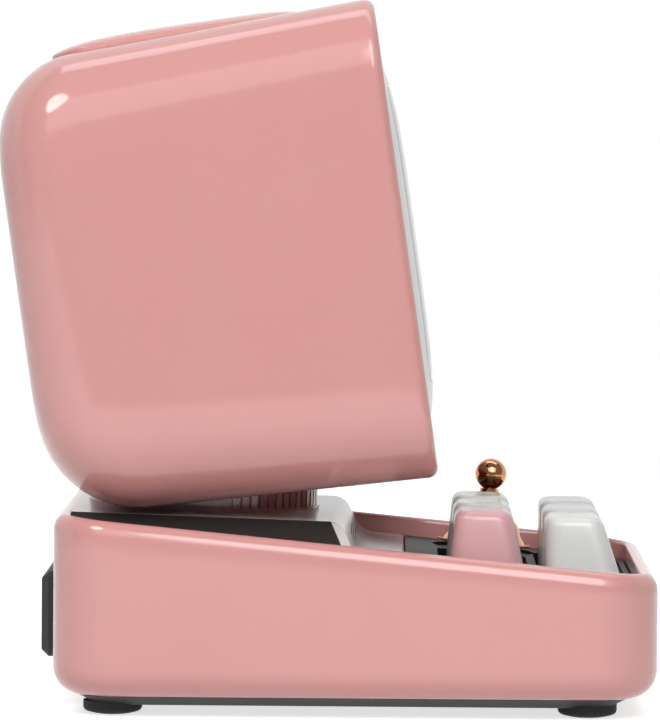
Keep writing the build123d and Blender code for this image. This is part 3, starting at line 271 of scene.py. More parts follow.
# %% Smoked acrylic
smoked_acrylic, tree = new_finish("smoked_acrylic_cast")
place = add(tree, "ShaderNodeTexCoord").outputs["Object"]
dye = add(tree, "ShaderNodeTexNoise", {"Vector": place, "Scale": 1 / (20 * MM), "Detail": 1.0})
dye_tint = add(
    tree,
    "ShaderNodeMix",
    {0: dye.outputs["Fac"], 6: linear("#3A3B3E"), 7: linear("#36373B")},
    data_type="RGBA",
)
lens_shader = add(
    tree,
    "ShaderNodeBsdfPrincipled",
    {
        "Base Color": dye_tint.outputs[2],
        "Roughness": 0.04,
        "IOR": 1.49,
        "Transmission Weight": 0.9,
    },
)
add(tree, "ShaderNodeOutputMaterial", {"Surface": lens_shader.outputs["BSDF"]})

# %% Lacquered circuit board
circuit_board, tree = new_finish("circuit_board_lacquered")
place = add(tree, "ShaderNodeTexCoord").outputs["Object"]
# Tracks about 0.4 mm wide: the edges of square cells, seen under the lacquer
tracks = add(
    tree,
    "ShaderNodeTexVoronoi",
    {"Vector": place, "Scale": 1 / (2.4 * MM)},
    distance="CHEBYCHEV",
    feature="F1",
)
edges = add(
    tree,
    "ShaderNodeMapRange",
    {"Value": tracks.outputs["Distance"], "From Min": 0.42, "From Max": 0.5},
)
lacquer = add(
    tree,
    "ShaderNodeMix",
    {0: edges.outputs["Result"], 6: linear("#1B4A2E"), 7: linear("#2C6B45")},
    data_type="RGBA",
)
board_shader = add(
    tree,
    "ShaderNodeBsdfPrincipled",
    {"Base Color": lacquer.outputs[2], "Roughness": 0.35, "IOR": 1.55},
)
add(tree, "ShaderNodeOutputMaterial", {"Surface": board_shader.outputs["BSDF"]})
battery_sleeve = moulded_gloss("pvc_sleeve_shrunk", "#26568C", "#214E82", 0.28, 20)
print("lens, board and sleeve:", smoked_acrylic.name, circuit_board.name, battery_sleeve.name)

# %% [markdown]
# ## Every CAD piece gets its finish
#
# The record names a material slot for each node, so a table from slot to finish covers them all.
# Flat walls with small rounded edges come out of CAD well enough: the corners that the mesh splits
# are welded, and weighted normals keep the flats flat while the roundings shade smoothly.

# %% Finishes and smooth shading
finish_of_slot = {
    "pink_plastic": pink_abs,
    "white_plastic": white_abs,
    "dark_plastic": charcoal_abs,
    "smoked_lens": smoked_acrylic,
    "inner_black": black_nylon,
    "circuit_board": circuit_board,
    "rubber": foot_rubber,
    "foam": gasket_foam,
    "copper_plate": copper_plate,
    "steel": steel,
    "aluminium": aluminium,
    "magnet": zinc_plate,
    "paper_cone": paper_pulp,
    "cell_sleeve": battery_sleeve,
}
slot_of = {part["node"]: part["material_slot"] for part in frame["record"]["subparts"]}
for name, cad_piece in nodes.items():
    cad_piece.data.materials.clear()
    cad_piece.data.materials.append(finish_of_slot[slot_of[name]])
    weld = cad_piece.modifiers.new("weld", "WELD")
    weld.merge_threshold = 0.002 * MM
    cad_piece.data.polygons.foreach_set("use_smooth", [True] * len(cad_piece.data.polygons))
    crease = cad_piece.modifiers.new("crease", "EDGE_SPLIT")
    crease.split_angle = math.radians(32)
    normals = cad_piece.modifiers.new("normals", "WEIGHTED_NORMAL")
    normals.weight = 60
    normals.keep_sharp = True
print("finished CAD nodes:", len(nodes))

# %% [markdown]
# ## Smooth skins
#
# A skin is a stack of closed loops, each with the same number of points, joined by quads. The form
# of a shell is then a short list of loops, which says where a wall, a rounding or a rim begins. A
# subdivision surface would need a cage that is guessed; loops land exactly where the CAD form is,
# and the largest difference from the CAD node's box is printed for each.


# %% Loops and skins
def rounded_loop(half_width, high, low, radius, corner_steps=8, side_steps=10):
    """A rounded rectangle that reaches half_width to each side, high up and low down."""
    corners = [
        (half_width - radius, -low + radius, -90),
        (half_width - radius, high - radius, 0),
        (-half_width + radius, high - radius, 90),
        (-half_width + radius, -low + radius, 180),
    ]
    points = []
    for index, (cx, cy, start) in enumerate(corners):
        for step in range(corner_steps + 1):
            angle = math.radians(start + 90 * step / corner_steps)
            points.append((cx + radius * math.cos(angle), cy + radius * math.sin(angle)))
        nx, ny, next_start = corners[(index + 1) % 4]
        angle = math.radians(next_start)
        to_x, to_y = nx + radius * math.cos(angle), ny + radius * math.sin(angle)
        from_x, from_y = points[-1]
        for step in range(1, side_steps):
            share = step / side_steps
            points.append((from_x + (to_x - from_x) * share, from_y + (to_y - from_y) * share))
    return points


def skin(loops, ring=False, close_first=False, close_last=False):
    """Points and faces that join a stack of loops; ring joins the last loop to the first."""
    count = len(loops[0])
    points = [p for loop in loops for p in loop]
    faces = []
    pairs = [(k, k + 1) for k in range(len(loops) - 1)] + ([(len(loops) - 1, 0)] if ring else [])
    for a, b in pairs:
        for i in range(count):
            j = (i + 1) % count
            faces.append((a * count + i, a * count + j, b * count + j, b * count + i))
    for wanted, k in ((close_first, 0), (close_last, len(loops) - 1)):
        if wanted:
            loop = loops[k]
            points.append(tuple(sum(p[axis] for p in loop) / count for axis in range(3)))
            centre = len(points) - 1
            faces += [(k * count + i, k * count + (i + 1) % count, centre) for i in range(count)]
    return points, faces


def joined(*shapes):
    """Several points-and-faces pairs as one."""
    points, faces = [], []
    for more_points, more_faces in shapes:
        start = len(points)
        points += more_points
        faces += [tuple(start + index for index in face) for face in more_faces]
    return points, faces


def between(loop_a, loop_b, steps):
    """Loops evenly spaced between two loops, both left out."""
    shares = [k / steps for k in range(1, steps)]
    return [
        [tuple(p + (q - p) * share for p, q in zip(a, b)) for a, b in zip(loop_a, loop_b)]
        for share in shares
    ]


def quarter(steps):
    """Pairs (1 - cos, 1 - sin) of a quarter turn, for a rounding of radius 1."""
    turns = [math.pi / 2 * k / steps for k in range(steps + 1)]
    return [(1 - math.cos(t), 1 - math.sin(t)) for t in turns]


def make_piece(name, shape, finish, body, slot, *stands_for, crease=35):
    """A smooth piece from points in millimetres, riding on a body in place of CAD nodes."""
    points, faces = shape
    mesh = bpy.data.meshes.new(name)
    mesh.from_pydata([Vector(p) * MM for p in points], [], faces)
    form = bmesh.new()
    form.from_mesh(mesh)
    bmesh.ops.recalc_face_normals(form, faces=form.faces)
    # Edges that turn by more than the crease angle stay sharp.
    for edge in form.edges:
        edge.smooth = len(edge.link_faces) != 2 or edge.calc_face_angle(0) < math.radians(crease)
    for face in form.faces:
        face.smooth = True
    form.to_mesh(mesh)
    form.free()
    mesh.materials.append(finish)
    piece = bpy.data.objects.new(name, mesh)
    bpy.context.scene.collection.objects.link(piece)
    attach(piece, body)
    if stands_for:
        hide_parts(*stands_for)
        corners = [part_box(node) for node in stands_for]
        spots = [[vertex.co[a] for vertex in mesh.vertices] for a in range(3)]
        mine = [[min(values), max(values)] for values in spots]
        theirs = [[min(c[0][a] for c in corners), max(c[1][a] for c in corners)] for a in range(3)]
        off = max(abs(m - t) / MM for pair in zip(mine, theirs) for m, t in zip(*pair))
        print(name, "faces:", len(mesh.polygons), "box off by, mm:", round(off, 2))
    return piece


# %% [markdown]
# ### The head
#
# The case is a crowned box that leans back by about eight degrees. Its four long edges keep a
# radius of about 12 mm, and its top and bottom roll over at the rear in larger ones. The rim is a
# narrow band with a small outer rounding, which draws a thin bright line. The skin starts inside the
# rim, runs over the outside to the opening at the rear, and comes back along the inside of the wall.

# %% The head's form
head_lean = math.radians(8.3)
face_middle = Vector((0.0, -13.1, 81.1))
across = Vector((1, 0, 0))
up_face = Vector((0, math.sin(head_lean), math.cos(head_lean)))
out_of_face = Vector((0, -math.cos(head_lean), math.sin(head_lean)))
HEAD_DEPTH, HALF_HEAD = 66.3, 44.0
HEAD_TOP, HEAD_BOTTOM = 40.96, 41.5
HEAD_WALL = 2.6
HEAD_CORNER, CORNER_GROWTH = 12.0, 2.0  # seen from the front, and how much wider at the rear
CORNER_TIGHTENING, LEAST_CORNER = 0.75, 2.4  # as the rear rounding draws the outline in
TOP_ROUND, BOTTOM_ROUND, SIDE_ROUND = 14.6, 16.6, 11.0  # at the rear
ROOF_FALL, FLOOR_RISE = 2.95, 2.1
CROWN, SIDE_CROWN = 0.7, 0.3
FACE_ROUND, RIM_ROUND = 1.8, 0.4
GRILLE_SIDE, GRILLE_CORNER = 40.0, 10.0
SPEAKER_V = (HEAD_TOP - ROOF_FALL - TOP_ROUND - HEAD_BOTTOM + FLOOR_RISE + BOTTOM_ROUND) / 2
FASCIA_BACK = 6.5


def on_head(x, v, u):
    """The point x across, v up the face and u ahead of it."""
    return tuple(face_middle + x * across + v * up_face + u * out_of_face)


def rounding_loss(radius, depth, reach):
    """How far a rounded rear corner has drawn in by a depth behind the face."""
    past = min(max(depth - (reach - radius), 0.0), radius)
    return radius - math.sqrt(radius**2 - past**2)


def head_outline(depth, wall=0.0, edge=0.0):
    """The case's outline at a depth: wall thins the whole form, edge only draws the outline in."""
    reach = HEAD_DEPTH - wall
    half = HALF_HEAD - wall - rounding_loss(SIDE_ROUND - wall, depth, reach)
    high = HEAD_TOP - wall - ROOF_FALL * depth / HEAD_DEPTH
    high -= rounding_loss(TOP_ROUND - wall, depth, reach)
    low = HEAD_BOTTOM - wall - FLOOR_RISE * depth / HEAD_DEPTH
    low -= rounding_loss(BOTTOM_ROUND - wall, depth, reach)
    radius = HEAD_CORNER + CORNER_GROWTH * depth / HEAD_DEPTH - wall
    radius = max(radius - CORNER_TIGHTENING * (HALF_HEAD - wall - half), LEAST_CORNER)
    crown = CROWN * half / HALF_HEAD
    outline = []
    for x, v in rounded_loop(half - edge, high - edge, low - edge, max(radius - edge, 0.8)):
        tall = high if v > 0 else low
        x_now = x - SIDE_CROWN * (v / tall) ** 2 * (x / half)
        v_now = v - crown * (x / half) ** 2 * (v / tall)
        outline.append((x_now, v_now))
    return outline


def head_loop(depth, wall=0.0, edge=0.0):
    """The case's outline as a loop at a depth."""
    return [on_head(x, v, -depth) for x, v in head_outline(depth, wall, edge)]


def opening_loop(depth, grow=0.0):
    """The edge of the opening for the rear grille, at a depth."""
    half = GRILLE_SIDE / 2 + grow
    loop = rounded_loop(half, half, half, GRILLE_CORNER + grow)
    return [on_head(x, v + SPEAKER_V, -depth) for x, v in loop]


# %% The head's skin
round_reach = max(TOP_ROUND, BOTTOM_ROUND, SIDE_ROUND)
round_start = HEAD_DEPTH - round_reach
inner_reach = HEAD_DEPTH - HEAD_WALL
inner_round = round_reach - HEAD_WALL
loops = [head_loop(depth, HEAD_WALL) for depth in (FASCIA_BACK, 4.5, 2.5, 1.2)]
loops += [head_loop(RIM_ROUND * b, HEAD_WALL, -RIM_ROUND * a) for a, b in quarter(4)]
loops += [head_loop(FACE_ROUND * b, 0.0, FACE_ROUND * a) for a, b in reversed(quarter(8))]
loops += [head_loop(FACE_ROUND + (round_start - FACE_ROUND) * k / 12) for k in range(1, 13)]
loops += [
    head_loop(round_start + round_reach * math.sin(math.pi / 2 * k / 30)) for k in range(1, 31)
]
rear_edge = opening_loop(HEAD_DEPTH, 0.3)
loops += between(loops[-1], rear_edge, 4) + [rear_edge]
loops += [opening_loop(HEAD_DEPTH - 0.3), opening_loop(inner_reach)]
inner = [
    head_loop(inner_reach - inner_round + inner_round * math.sin(math.pi / 2 * k / 8), HEAD_WALL)
    for k in range(8, -1, -1)
]
loops += between(loops[-1], inner[0], 3) + inner
loops += [head_loop(depth, HEAD_WALL) for depth in (35.0, 20.0)]
make_piece("head_case", skin(loops, ring=True), pink_abs, "case", "pink_plastic", "head_shell")

# %% [markdown]
# ### The roof's panel
#
# A low raised panel lies on the roof. It has no hard edge: its sides turn over in a wide, flat
# rounding, so that they catch a soft light. Its upper surface falls to the rear by a fourth power,
# which stays flat for most of its length and then drops fast, and it runs out into the roof in front.

# %% The roof's panel
PANEL_HALF, PANEL_CORNER = 28.0, 6.0
PANEL_REAR, PANEL_FRONT, PANEL_CREST = -55.6, -11.6, -21.0  # ahead of the face
PANEL_TOP, PANEL_REAR_FALL, PANEL_FRONT_FALL = 40.85, 1.6, 0.4
EDGE_WIDE, EDGE_DROP, PANEL_SUNK = 7.0, 1.0, 1.2


def panel_top(ahead):
    """Height of the panel above the middle of the face."""
    rear = max(PANEL_CREST - ahead, 0) / (PANEL_CREST - PANEL_REAR)
    front = max(ahead - PANEL_CREST, 0) / (PANEL_FRONT - PANEL_CREST)
    return PANEL_TOP - PANEL_REAR_FALL * rear**4 - PANEL_FRONT_FALL * front**2


def panel_loop(inset, drop, share=1.0):
    """A loop drawn in by an inset and lying below the upper surface by a drop."""
    middle, reach = (PANEL_REAR + PANEL_FRONT) / 2, (PANEL_FRONT - PANEL_REAR) / 2 - inset
    corner = max(PANEL_CORNER - inset / 2, 1.5)
    loop = []
    for x, ahead in rounded_loop(PANEL_HALF - inset, reach, reach, corner):
        x, ahead = x * share, middle + ahead * share
        loop.append(on_head(x, panel_top(ahead) - drop, ahead))
    return loop


loops = [panel_loop(0.0, EDGE_DROP + PANEL_SUNK)]
loops += [panel_loop(EDGE_WIDE * a, EDGE_DROP * b) for a, b in quarter(8)]
loops += [panel_loop(EDGE_WIDE, 0.0, share) for share in (0.85, 0.7, 0.55, 0.4, 0.25, 0.1)]
panel = skin(loops, close_first=True, close_last=True)
make_piece("roof_panel", panel, pink_abs, "case", "pink_plastic", "top_plate")

# %% [markdown]
# ### The front: fascia and window
#
# The front is one shallow dome. Most of it is the dark window, and the off-white fascia carries on
# its curve to the rim. Both are polished, so the dome catches a long pale reflection at a low angle.
# The two share one formula for the height, and a thin gap with softened edges parts them.

# %% Fascia and window
DOME_HEIGHT, DOME_MIDDLE, DOME_HALF_WIDTH, DOME_HALF_HEIGHT = 1.75, -1.5, 32.5, 30.5
WINDOW_HALF_WIDTH, WINDOW_HALF_HEIGHT, WINDOW_CORNER = 26.5, 25.5, 6.0
WINDOW_BACK = 2.0
POCKET_HALF_WIDTH, POCKET_HALF_HEIGHT, POCKET_CORNER = 28.0, 27.0, 2.0  # behind the window
SEAT_GAP = 0.15
EDGE_BREAK = 0.08  # the softened edge of a moulded part


def dome(x, v):
    """Height of the front's dome above the rim."""
    rise = abs(x / DOME_HALF_WIDTH) ** 4 + abs((v - DOME_MIDDLE) / DOME_HALF_HEIGHT) ** 5
    return DOME_HEIGHT * (1 - rise)


def on_dome(outline, sink=0.0):
    """An outline laid on the dome, or sunk below it."""
    return [on_head(x, v, dome(x, v) - sink) for x, v in outline]


def window_outline(grow):
    """The window's outline, grown to each side."""
    half_height = WINDOW_HALF_HEIGHT + grow
    return rounded_loop(WINDOW_HALF_WIDTH + grow, half_height, half_height, WINDOW_CORNER + grow)


def at_depth(outline, depth):
    """An outline at a depth behind the rim."""
    return [on_head(x, v, -depth) for x, v in outline]


outer = head_outline(FASCIA_BACK, HEAD_WALL + SEAT_GAP)
outer_in = head_outline(FASCIA_BACK, HEAD_WALL + SEAT_GAP, EDGE_BREAK)
opening = window_outline(SEAT_GAP)
opening_out = window_outline(SEAT_GAP + EDGE_BREAK)
FLAT_STEPS = 14
flat = [
    [
        (a + (c - a) * k / FLAT_STEPS, b + (d - b) * k / FLAT_STEPS)
        for (a, b), (c, d) in zip(opening_out, outer_in)
    ]
    for k in range(FLAT_STEPS + 1)
]
pocket = rounded_loop(POCKET_HALF_WIDTH, POCKET_HALF_HEIGHT, POCKET_HALF_HEIGHT, POCKET_CORNER)
loops = [at_depth(opening, WINDOW_BACK), on_dome(opening, EDGE_BREAK)]
loops += [on_dome(ring) for ring in flat]
loops += [on_dome(outer, EDGE_BREAK), at_depth(outer, FASCIA_BACK)]
loops += [at_depth(pocket, FASCIA_BACK), at_depth(pocket, WINDOW_BACK)]
make_piece("fascia", skin(loops, ring=True), white_abs, "case", "white_plastic", "front_fascia")

shares = [k / 16 for k in range(1, 17)]
rim_line = window_outline(-EDGE_BREAK)
loops = [on_dome([(x * share, v * share) for x, v in rim_line]) for share in shares]
loops += [on_dome(window_outline(0.0), EDGE_BREAK), at_depth(window_outline(0.0), WINDOW_BACK)]
for share in (0.7, 0.4):
    loops.append(at_depth([(x * share, v * share) for x, v in window_outline(0.0)], WINDOW_BACK))
window_shape = skin(loops, close_first=True, close_last=True)
make_piece("window", window_shape, smoked_acrylic, "case", "smoked_lens", "display_window")

# %% [markdown]
# ### Light-emitting diodes
#
# Behind the window stand 16 by 16 light-emitting diodes, one in each cell of the black grid. They are
# off. Each is a white package with a pale resin face, soldered to the board. One mesh holds all of
# them, because they never move apart.

# %% Diodes
LED_COUNT, LED_PITCH = 16, 3.05
LED_HALF, LED_TALL, LED_CORNER = 0.75, 0.9, 0.12
LED_RESIN, LED_RESIN_FLOOR, LED_RESIN_SUNK = 0.55, 0.5, 0.15
GRID_DEPTH = 2.6
board_front = WINDOW_BACK + SEAT_GAP + GRID_DEPTH
led_shapes = []
for column in range(LED_COUNT):
    for row in range(LED_COUNT):
        x = (column - (LED_COUNT - 1) / 2) * LED_PITCH
        v = (row - (LED_COUNT - 1) / 2) * LED_PITCH
        package = []
        steps = (
            (LED_HALF, 0.02),
            (LED_HALF, LED_TALL),
            (LED_RESIN, LED_TALL),
            (LED_RESIN_FLOOR, LED_TALL - LED_RESIN_SUNK),
        )
        for half, rise in steps:
            square = rounded_loop(half, half, half, LED_CORNER, 2, 1)
            package.append([on_head(x + a, v + b, -board_front + rise) for a, b in square])
        led_shapes.append(skin(package, close_first=True, close_last=True))
led_resin = moulded_gloss("led_package_resin", "#E4E2D4", "#DAD7C6", 0.25, 2)
make_piece("diodes", joined(*led_shapes), led_resin, "case", "white_plastic")
print("diodes:", len(led_shapes))

# %% [markdown]
# ### The base shell
#
# The base is a tray. Its belly turns under in a wide rounding, and its rim slopes down to the front.
# The rim is as soft as a bowl's: its outside turns over in a rounding that is taller than it is wide.
# A loop of the skin is drawn in from the outer wall by an inset. It lies level near the belly, and
# parallel to the rim near the top.

# %% The base shell
BASE_HALF, BASE_FRONT, BASE_REAR, BASE_CORNER = 45.1, -56.15, 46.1, 11.0
BASE_BOTTOM, BASE_BELLY, RIM_FRONT = 3.45, 4.8, 24.4
RIM_SLOPE = math.radians(5.4)
RIM_WALL, RIM_WIDE, RIM_TALL, RIM_INNER = 3.1, 2.2, 3.0, 0.8
LEDGE_DROP, LEDGE_WIDE, LEDGE_THICK = 5.3, 1.4, 1.6
FLANGE_INSET, FLANGE_THICK = 7.5, 2.0


def tray_loop(inset, drop=None, level=None):
    """A loop of the tray, either below the rim by a drop or at a level height."""
    middle, reach = (BASE_FRONT + BASE_REAR) / 2, (BASE_REAR - BASE_FRONT) / 2 - inset
    corner = max(BASE_CORNER - inset, 1.5)
    loop = []
    for x, y in rounded_loop(BASE_HALF - inset, reach, reach, corner, 12, 12):
        y += middle
        height = level
        if level is None:
            rim = RIM_FRONT + (y - BASE_FRONT) * math.tan(RIM_SLOPE)
            height = rim - drop / math.cos(RIM_SLOPE)
        loop.append((x, y, height))
    return loop


wall_foot, wall_top = tray_loop(0.0, level=BASE_BOTTOM + BASE_BELLY), tray_loop(0.0, drop=RIM_TALL)
loops = [tray_loop(FLANGE_INSET, level=BASE_BOTTOM + rise) for rise in (FLANGE_THICK, 0.0)]
loops += [tray_loop(BASE_BELLY * b, level=BASE_BOTTOM + BASE_BELLY * a) for a, b in quarter(10)]
loops += between(wall_foot, wall_top, 8) + [wall_top]
loops += [tray_loop(RIM_WIDE * a, drop=RIM_TALL * b) for a, b in quarter(10)[1:]]
loops += [tray_loop(RIM_WALL - RIM_INNER * b, drop=RIM_INNER * a) for a, b in quarter(5)]
loops += [tray_loop(RIM_WALL, drop=LEDGE_DROP), tray_loop(RIM_WALL + LEDGE_WIDE, drop=LEDGE_DROP)]
loops += [tray_loop(RIM_WALL + LEDGE_WIDE, drop=LEDGE_DROP + LEDGE_THICK)]
loops += [tray_loop(RIM_WALL, drop=LEDGE_DROP + LEDGE_THICK)]
loops += [tray_loop(RIM_WALL, level=BASE_BOTTOM + FLANGE_THICK)]
make_piece("base_case", skin(loops, ring=True), pink_abs, "case", "pink_plastic", "base_shell")

# %% [markdown]
# ### The slider's knob
#
# The power switch on the rear has a small black knob that slides in a slot. It is moulded with
# softened end edges and stays inside the rear face of the port block, so that nothing catches it.

# %% The slider's knob
SLIDER_HALF_WIDTH, SLIDER_HALF_HEIGHT, SLIDER_CORNER = 1.0, 0.8, 0.3
SLIDER_REAR = 48.2  # it ends inside the port block's rear face
low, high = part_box("power_slider")
slider_x, slider_z = (low[0] + high[0]) / 2 / MM, (low[2] + high[2]) / 2 / MM
slider_front = low[1] / MM
loops = []
slider_steps = (
    (0.0, slider_front),
    (0.0, SLIDER_REAR - 0.3),
    (0.1, SLIDER_REAR - 0.1),
    (0.3, SLIDER_REAR),
)
for inset, y in slider_steps:
    half_height = SLIDER_HALF_HEIGHT - inset
    outline = rounded_loop(
        SLIDER_HALF_WIDTH - inset, half_height, half_height, SLIDER_CORNER, 3, 3
    )
    loops.append([(slider_x + x, y, slider_z + z) for x, z in outline])
knob = skin(loops, close_first=True, close_last=True)
slot = slot_of["power_slider"]
make_piece("slider_knob", knob, black_nylon, "power_slider", slot, "power_slider")

# %% [markdown]
# ### Keys
#
# Each cap is a hollow block that narrows to a smaller, tilted top. The top is slightly dished, so
# that a finger finds its middle, and its edge is rounded. A cap can be lofted from its
# foot to its top in one go: the wall runs straight between two outlines, and the rounding is a short
# curve whose middle is pulled towards the corner. Under the cap a socket takes the switch's stem.

# %% Key caps
along_deck = Vector((0, math.cos(RIM_SLOPE), math.sin(RIM_SLOPE)))
off_deck = Vector((0, -math.sin(RIM_SLOPE), math.cos(RIM_SLOPE)))
KEY_DECK_DROP = 3.3
deck_start = Vector((0, -56.0, RIM_FRONT)) - KEY_DECK_DROP * off_deck
CAP_SKIRT, CAP_WALL, CAP_CEILING = 1.6, 1.3, 1.7
CAP_CORNER, CAP_SIDE_IN, CAP_ROUND = 3.2, 1.9, 1.5
CAP_CORNER_LOSS, CAP_LEAST_CORNER = 0.4, 0.8  # a top corner is a little tighter than at the foot
CAP_DISH = 0.3
EDGE_PULL = 0.72  # how strongly the top edge's curve is pulled to the corner
SOCKET_BORE, SOCKET_RADIUS, SOCKET_FOOT, SOCKET_SUNK = 1.7, 2.7, 4.4, 0.5
back_row = dict(
    y=-27.6, x=-30.4, pitch=19.9, width=18.3, depth=13.7, height=11.0, rear_in=0.05, front_in=4.15,
    tilt=4.2, stem=1.1,
)
front_row = dict(
    y=-44.38, x=-20.75, pitch=20.75, width=19.2, depth=14.0, height=10.95, rear_in=-1.14,
    front_in=5.68, tilt=5.4, stem=1.38,
)


def on_deck(x, y, height):
    """The point x across, at distance y up the key deck's slope, at a height above it."""
    return deck_start + x * across + y * along_deck + height * off_deck


def cap_outline(row, x, inset, height, top):
    """A cap's outline at its foot, or at its tilted top, drawn in by an inset."""
    y = (row["y"] - deck_start.y) / math.cos(RIM_SLOPE)
    if not top:
        half, deep, corner = row["width"] / 2 - inset, row["depth"] / 2 - inset, CAP_CORNER - inset
        outline = rounded_loop(half, deep, deep, corner, 6, 6)
        return [tuple(on_deck(x + a, y + b, height)) for a, b in outline]
    half = row["width"] / 2 - CAP_SIDE_IN - inset
    deep = (row["depth"] - row["front_in"] - row["rear_in"]) / 2 - inset
    y += (row["front_in"] - row["rear_in"]) / 2
    tilt = math.radians(row["tilt"])
    corner = max(CAP_CORNER - CAP_CORNER_LOSS - inset, CAP_LEAST_CORNER)
    return [
        tuple(on_deck(x + a, y + b * math.cos(tilt), height - b * math.sin(tilt)))
        for a, b in rounded_loop(half, deep, deep, corner, 6, 6)
    ]


def rounded_edge(foot, corner, inner, radius, steps=6):
    """Loops that turn from a straight wall, past a corner, to a loop on the top."""
    loops = []
    for k in range(steps + 1):
        t = k / steps
        loop = []
        for f, c, n in zip(foot, corner, inner):
            f, c, n = Vector(f), Vector(c), Vector(n)
            start = c + (f - c).normalized() * radius
            a, b, d = (1 - t) ** 2, 2 * EDGE_PULL * t * (1 - t), t**2
            loop.append(tuple((start * a + c * b + n * d) / (a + b + d)))
        loops.append(loop)
    return loops


def turned(profile, x, y, steps=64):
    """Loops of a turned piece on the key deck, from a profile of radius and height."""
    turns = [2 * math.pi * k / steps for k in range(steps)]
    return [
        [tuple(on_deck(x + r * math.cos(t), y + r * math.sin(t), height)) for t in turns]
        for r, height in profile
    ]


def tube(centre, inner_radius, outer_radius, low, high):
    """A short upright tube on the key deck."""
    rings = ((outer_radius, high), (outer_radius, low), (inner_radius, low), (inner_radius, high))
    return skin(turned(rings, *centre, 24), ring=True)


def cap_shape(row, x):
    """A whole cap: hollow, wall, rounded edge and dished top, with the socket under it."""
    foot = cap_outline(row, x, 0.0, -CAP_SKIRT, False)
    corner = cap_outline(row, x, 0.0, row["height"], True)
    inner = cap_outline(row, x, CAP_ROUND, row["height"], True)
    hollow_foot = cap_outline(row, x, CAP_WALL, -CAP_SKIRT, False)
    hollow_top = cap_outline(row, x, CAP_WALL, row["height"] - CAP_CEILING, True)
    loops = [hollow_top] + between(hollow_top, hollow_foot, 4) + [hollow_foot, foot]
    turn = rounded_edge(foot, corner, inner, CAP_ROUND)
    loops += between(foot, turn[0], 6) + turn
    middle = Vector(tuple(sum(p[a] for p in inner) / len(inner) for a in range(3)))
    for k in range(1, 6):
        share = 1 - k / 6
        sunk = CAP_DISH * (1 - share**2)
        loops.append([tuple(middle + (Vector(p) - middle) * share - sunk * off_deck) for p in inner])
    stem_y = (row["y"] - deck_start.y) / math.cos(RIM_SLOPE) + row["stem"]
    socket_top = row["height"] - CAP_CEILING + SOCKET_SUNK
    socket = tube((x, stem_y), SOCKET_BORE, SOCKET_RADIUS, SOCKET_FOOT, socket_top)
    return joined(skin(loops, close_first=True, close_last=True), socket)


for row_name, row in (("back", back_row), ("front", front_row)):
    for index in range(3):
        key = f"key_{row_name}_{index + 1}"
        pink = key == "key_back_1"
        finish, slot = (pink_key_abs, "pink_plastic") if pink else (white_key_abs, "white_plastic")
        shape = cap_shape(row, row["x"] + index * row["pitch"])
        make_piece(key.replace("key", "cap"), shape, finish, key, slot, key)

# %% [markdown]
# ### The lever's ball and bell
#
# Both are turned shapes, plated with copper and polished like a mirror. A turned shape is a profile
# swung round an axis, and here the profile is a smooth curve through a few chosen points. The axis
# stands square to the key deck.


# %% Ball and bell
def smooth_curve(points, steps):
    """A curve through points: between two of them it keeps their neighbours' direction."""
    padded = [points[0]] + list(points) + [points[-1]]
    curve = []
    for k in range(len(points) - 1):
        p0, p1, p2, p3 = (Vector(p) for p in padded[k : k + 4])
        for s in range(steps):
            t = s / steps
            curve.append(
                tuple(
                    0.5
                    * (
                        2 * p1
                        + (p2 - p0) * t
                        + (2 * p0 - 5 * p1 + 4 * p2 - p3) * t**2
                        + (3 * p1 - 3 * p2 + p3 - p0) * t**3
                    )
                )
            )
    return curve + [tuple(points[-1])]


LEVER_X, LEVER_Y = 30.0, (-27.6 - deck_start.y) / math.cos(RIM_SLOPE)
BALL_RADIUS, BALL_HEIGHT, STEM_RADIUS = 2.8, 13.35, 1.2
BELL_TOP = BALL_HEIGHT - math.sqrt(BALL_RADIUS**2 - STEM_RADIUS**2) - 0.05
ARC_FOOT, ARC_STEPS = -64.6, 40  # the ball's profile, from where the stem enters to the top
arc = [math.radians(ARC_FOOT + (90 - ARC_FOOT) * k / ARC_STEPS) for k in range(ARC_STEPS)]
ball_profile = [(BALL_RADIUS * math.cos(t), BALL_HEIGHT + BALL_RADIUS * math.sin(t)) for t in arc]
ball = skin(turned(ball_profile, LEVER_X, LEVER_Y), close_first=True, close_last=True)
make_piece("lever_knob", ball, copper_plate, "lever", "copper_plate", "lever_ball")

flare = [(7.4, 1.4), (6.5, 2.6), (5.75, 4.6), (4.1, 6.1), (2.65, 7.6), (1.87, 9.1), (1.65, BELL_TOP)]
bell_profile = [(8.3, 0.95), (8.3, 1.3), (8.2, 1.4)] + smooth_curve(flare, 8)
bell_profile += [(STEM_RADIUS, BELL_TOP), (STEM_RADIUS, 8.2), (2.2, 5.6), (4.6, 3.4), (5.5, 1.8)]
bell_profile += [(5.7, 0.9), (8.2, 0.9)]
bell = skin(turned(bell_profile, LEVER_X, LEVER_Y), ring=True)
make_piece("lever_skirt", bell, copper_plate, "lever", "copper_plate", "lever_bell")

# %% [markdown]
# ## Studio
#
# A pale floor runs back to a white room. The camera sees that room as pure white, and the object
# itself is lit much less by it, so that the hollows under the head stay darker than the walls. Soft
# boxes stand behind, beside and above: two beside the object for the long even wall, and a small
# one high at the rear, whose reflection is the bright spot on the head's rear corner.

# %% Floor
FLOOR_HALF = 0.6
floor_mesh = bpy.data.meshes.new("floor")
corners = [(FLOOR_HALF * a, FLOOR_HALF * b, 0) for a, b in ((-1, -1), (1, -1), (1, 1), (-1, 1))]
floor_mesh.from_pydata(corners, [], [(0, 1, 2, 3)])
floor = bpy.data.objects.new("floor", floor_mesh)
bpy.context.scene.collection.objects.link(floor)
print("floor, m:", 2 * FLOOR_HALF)

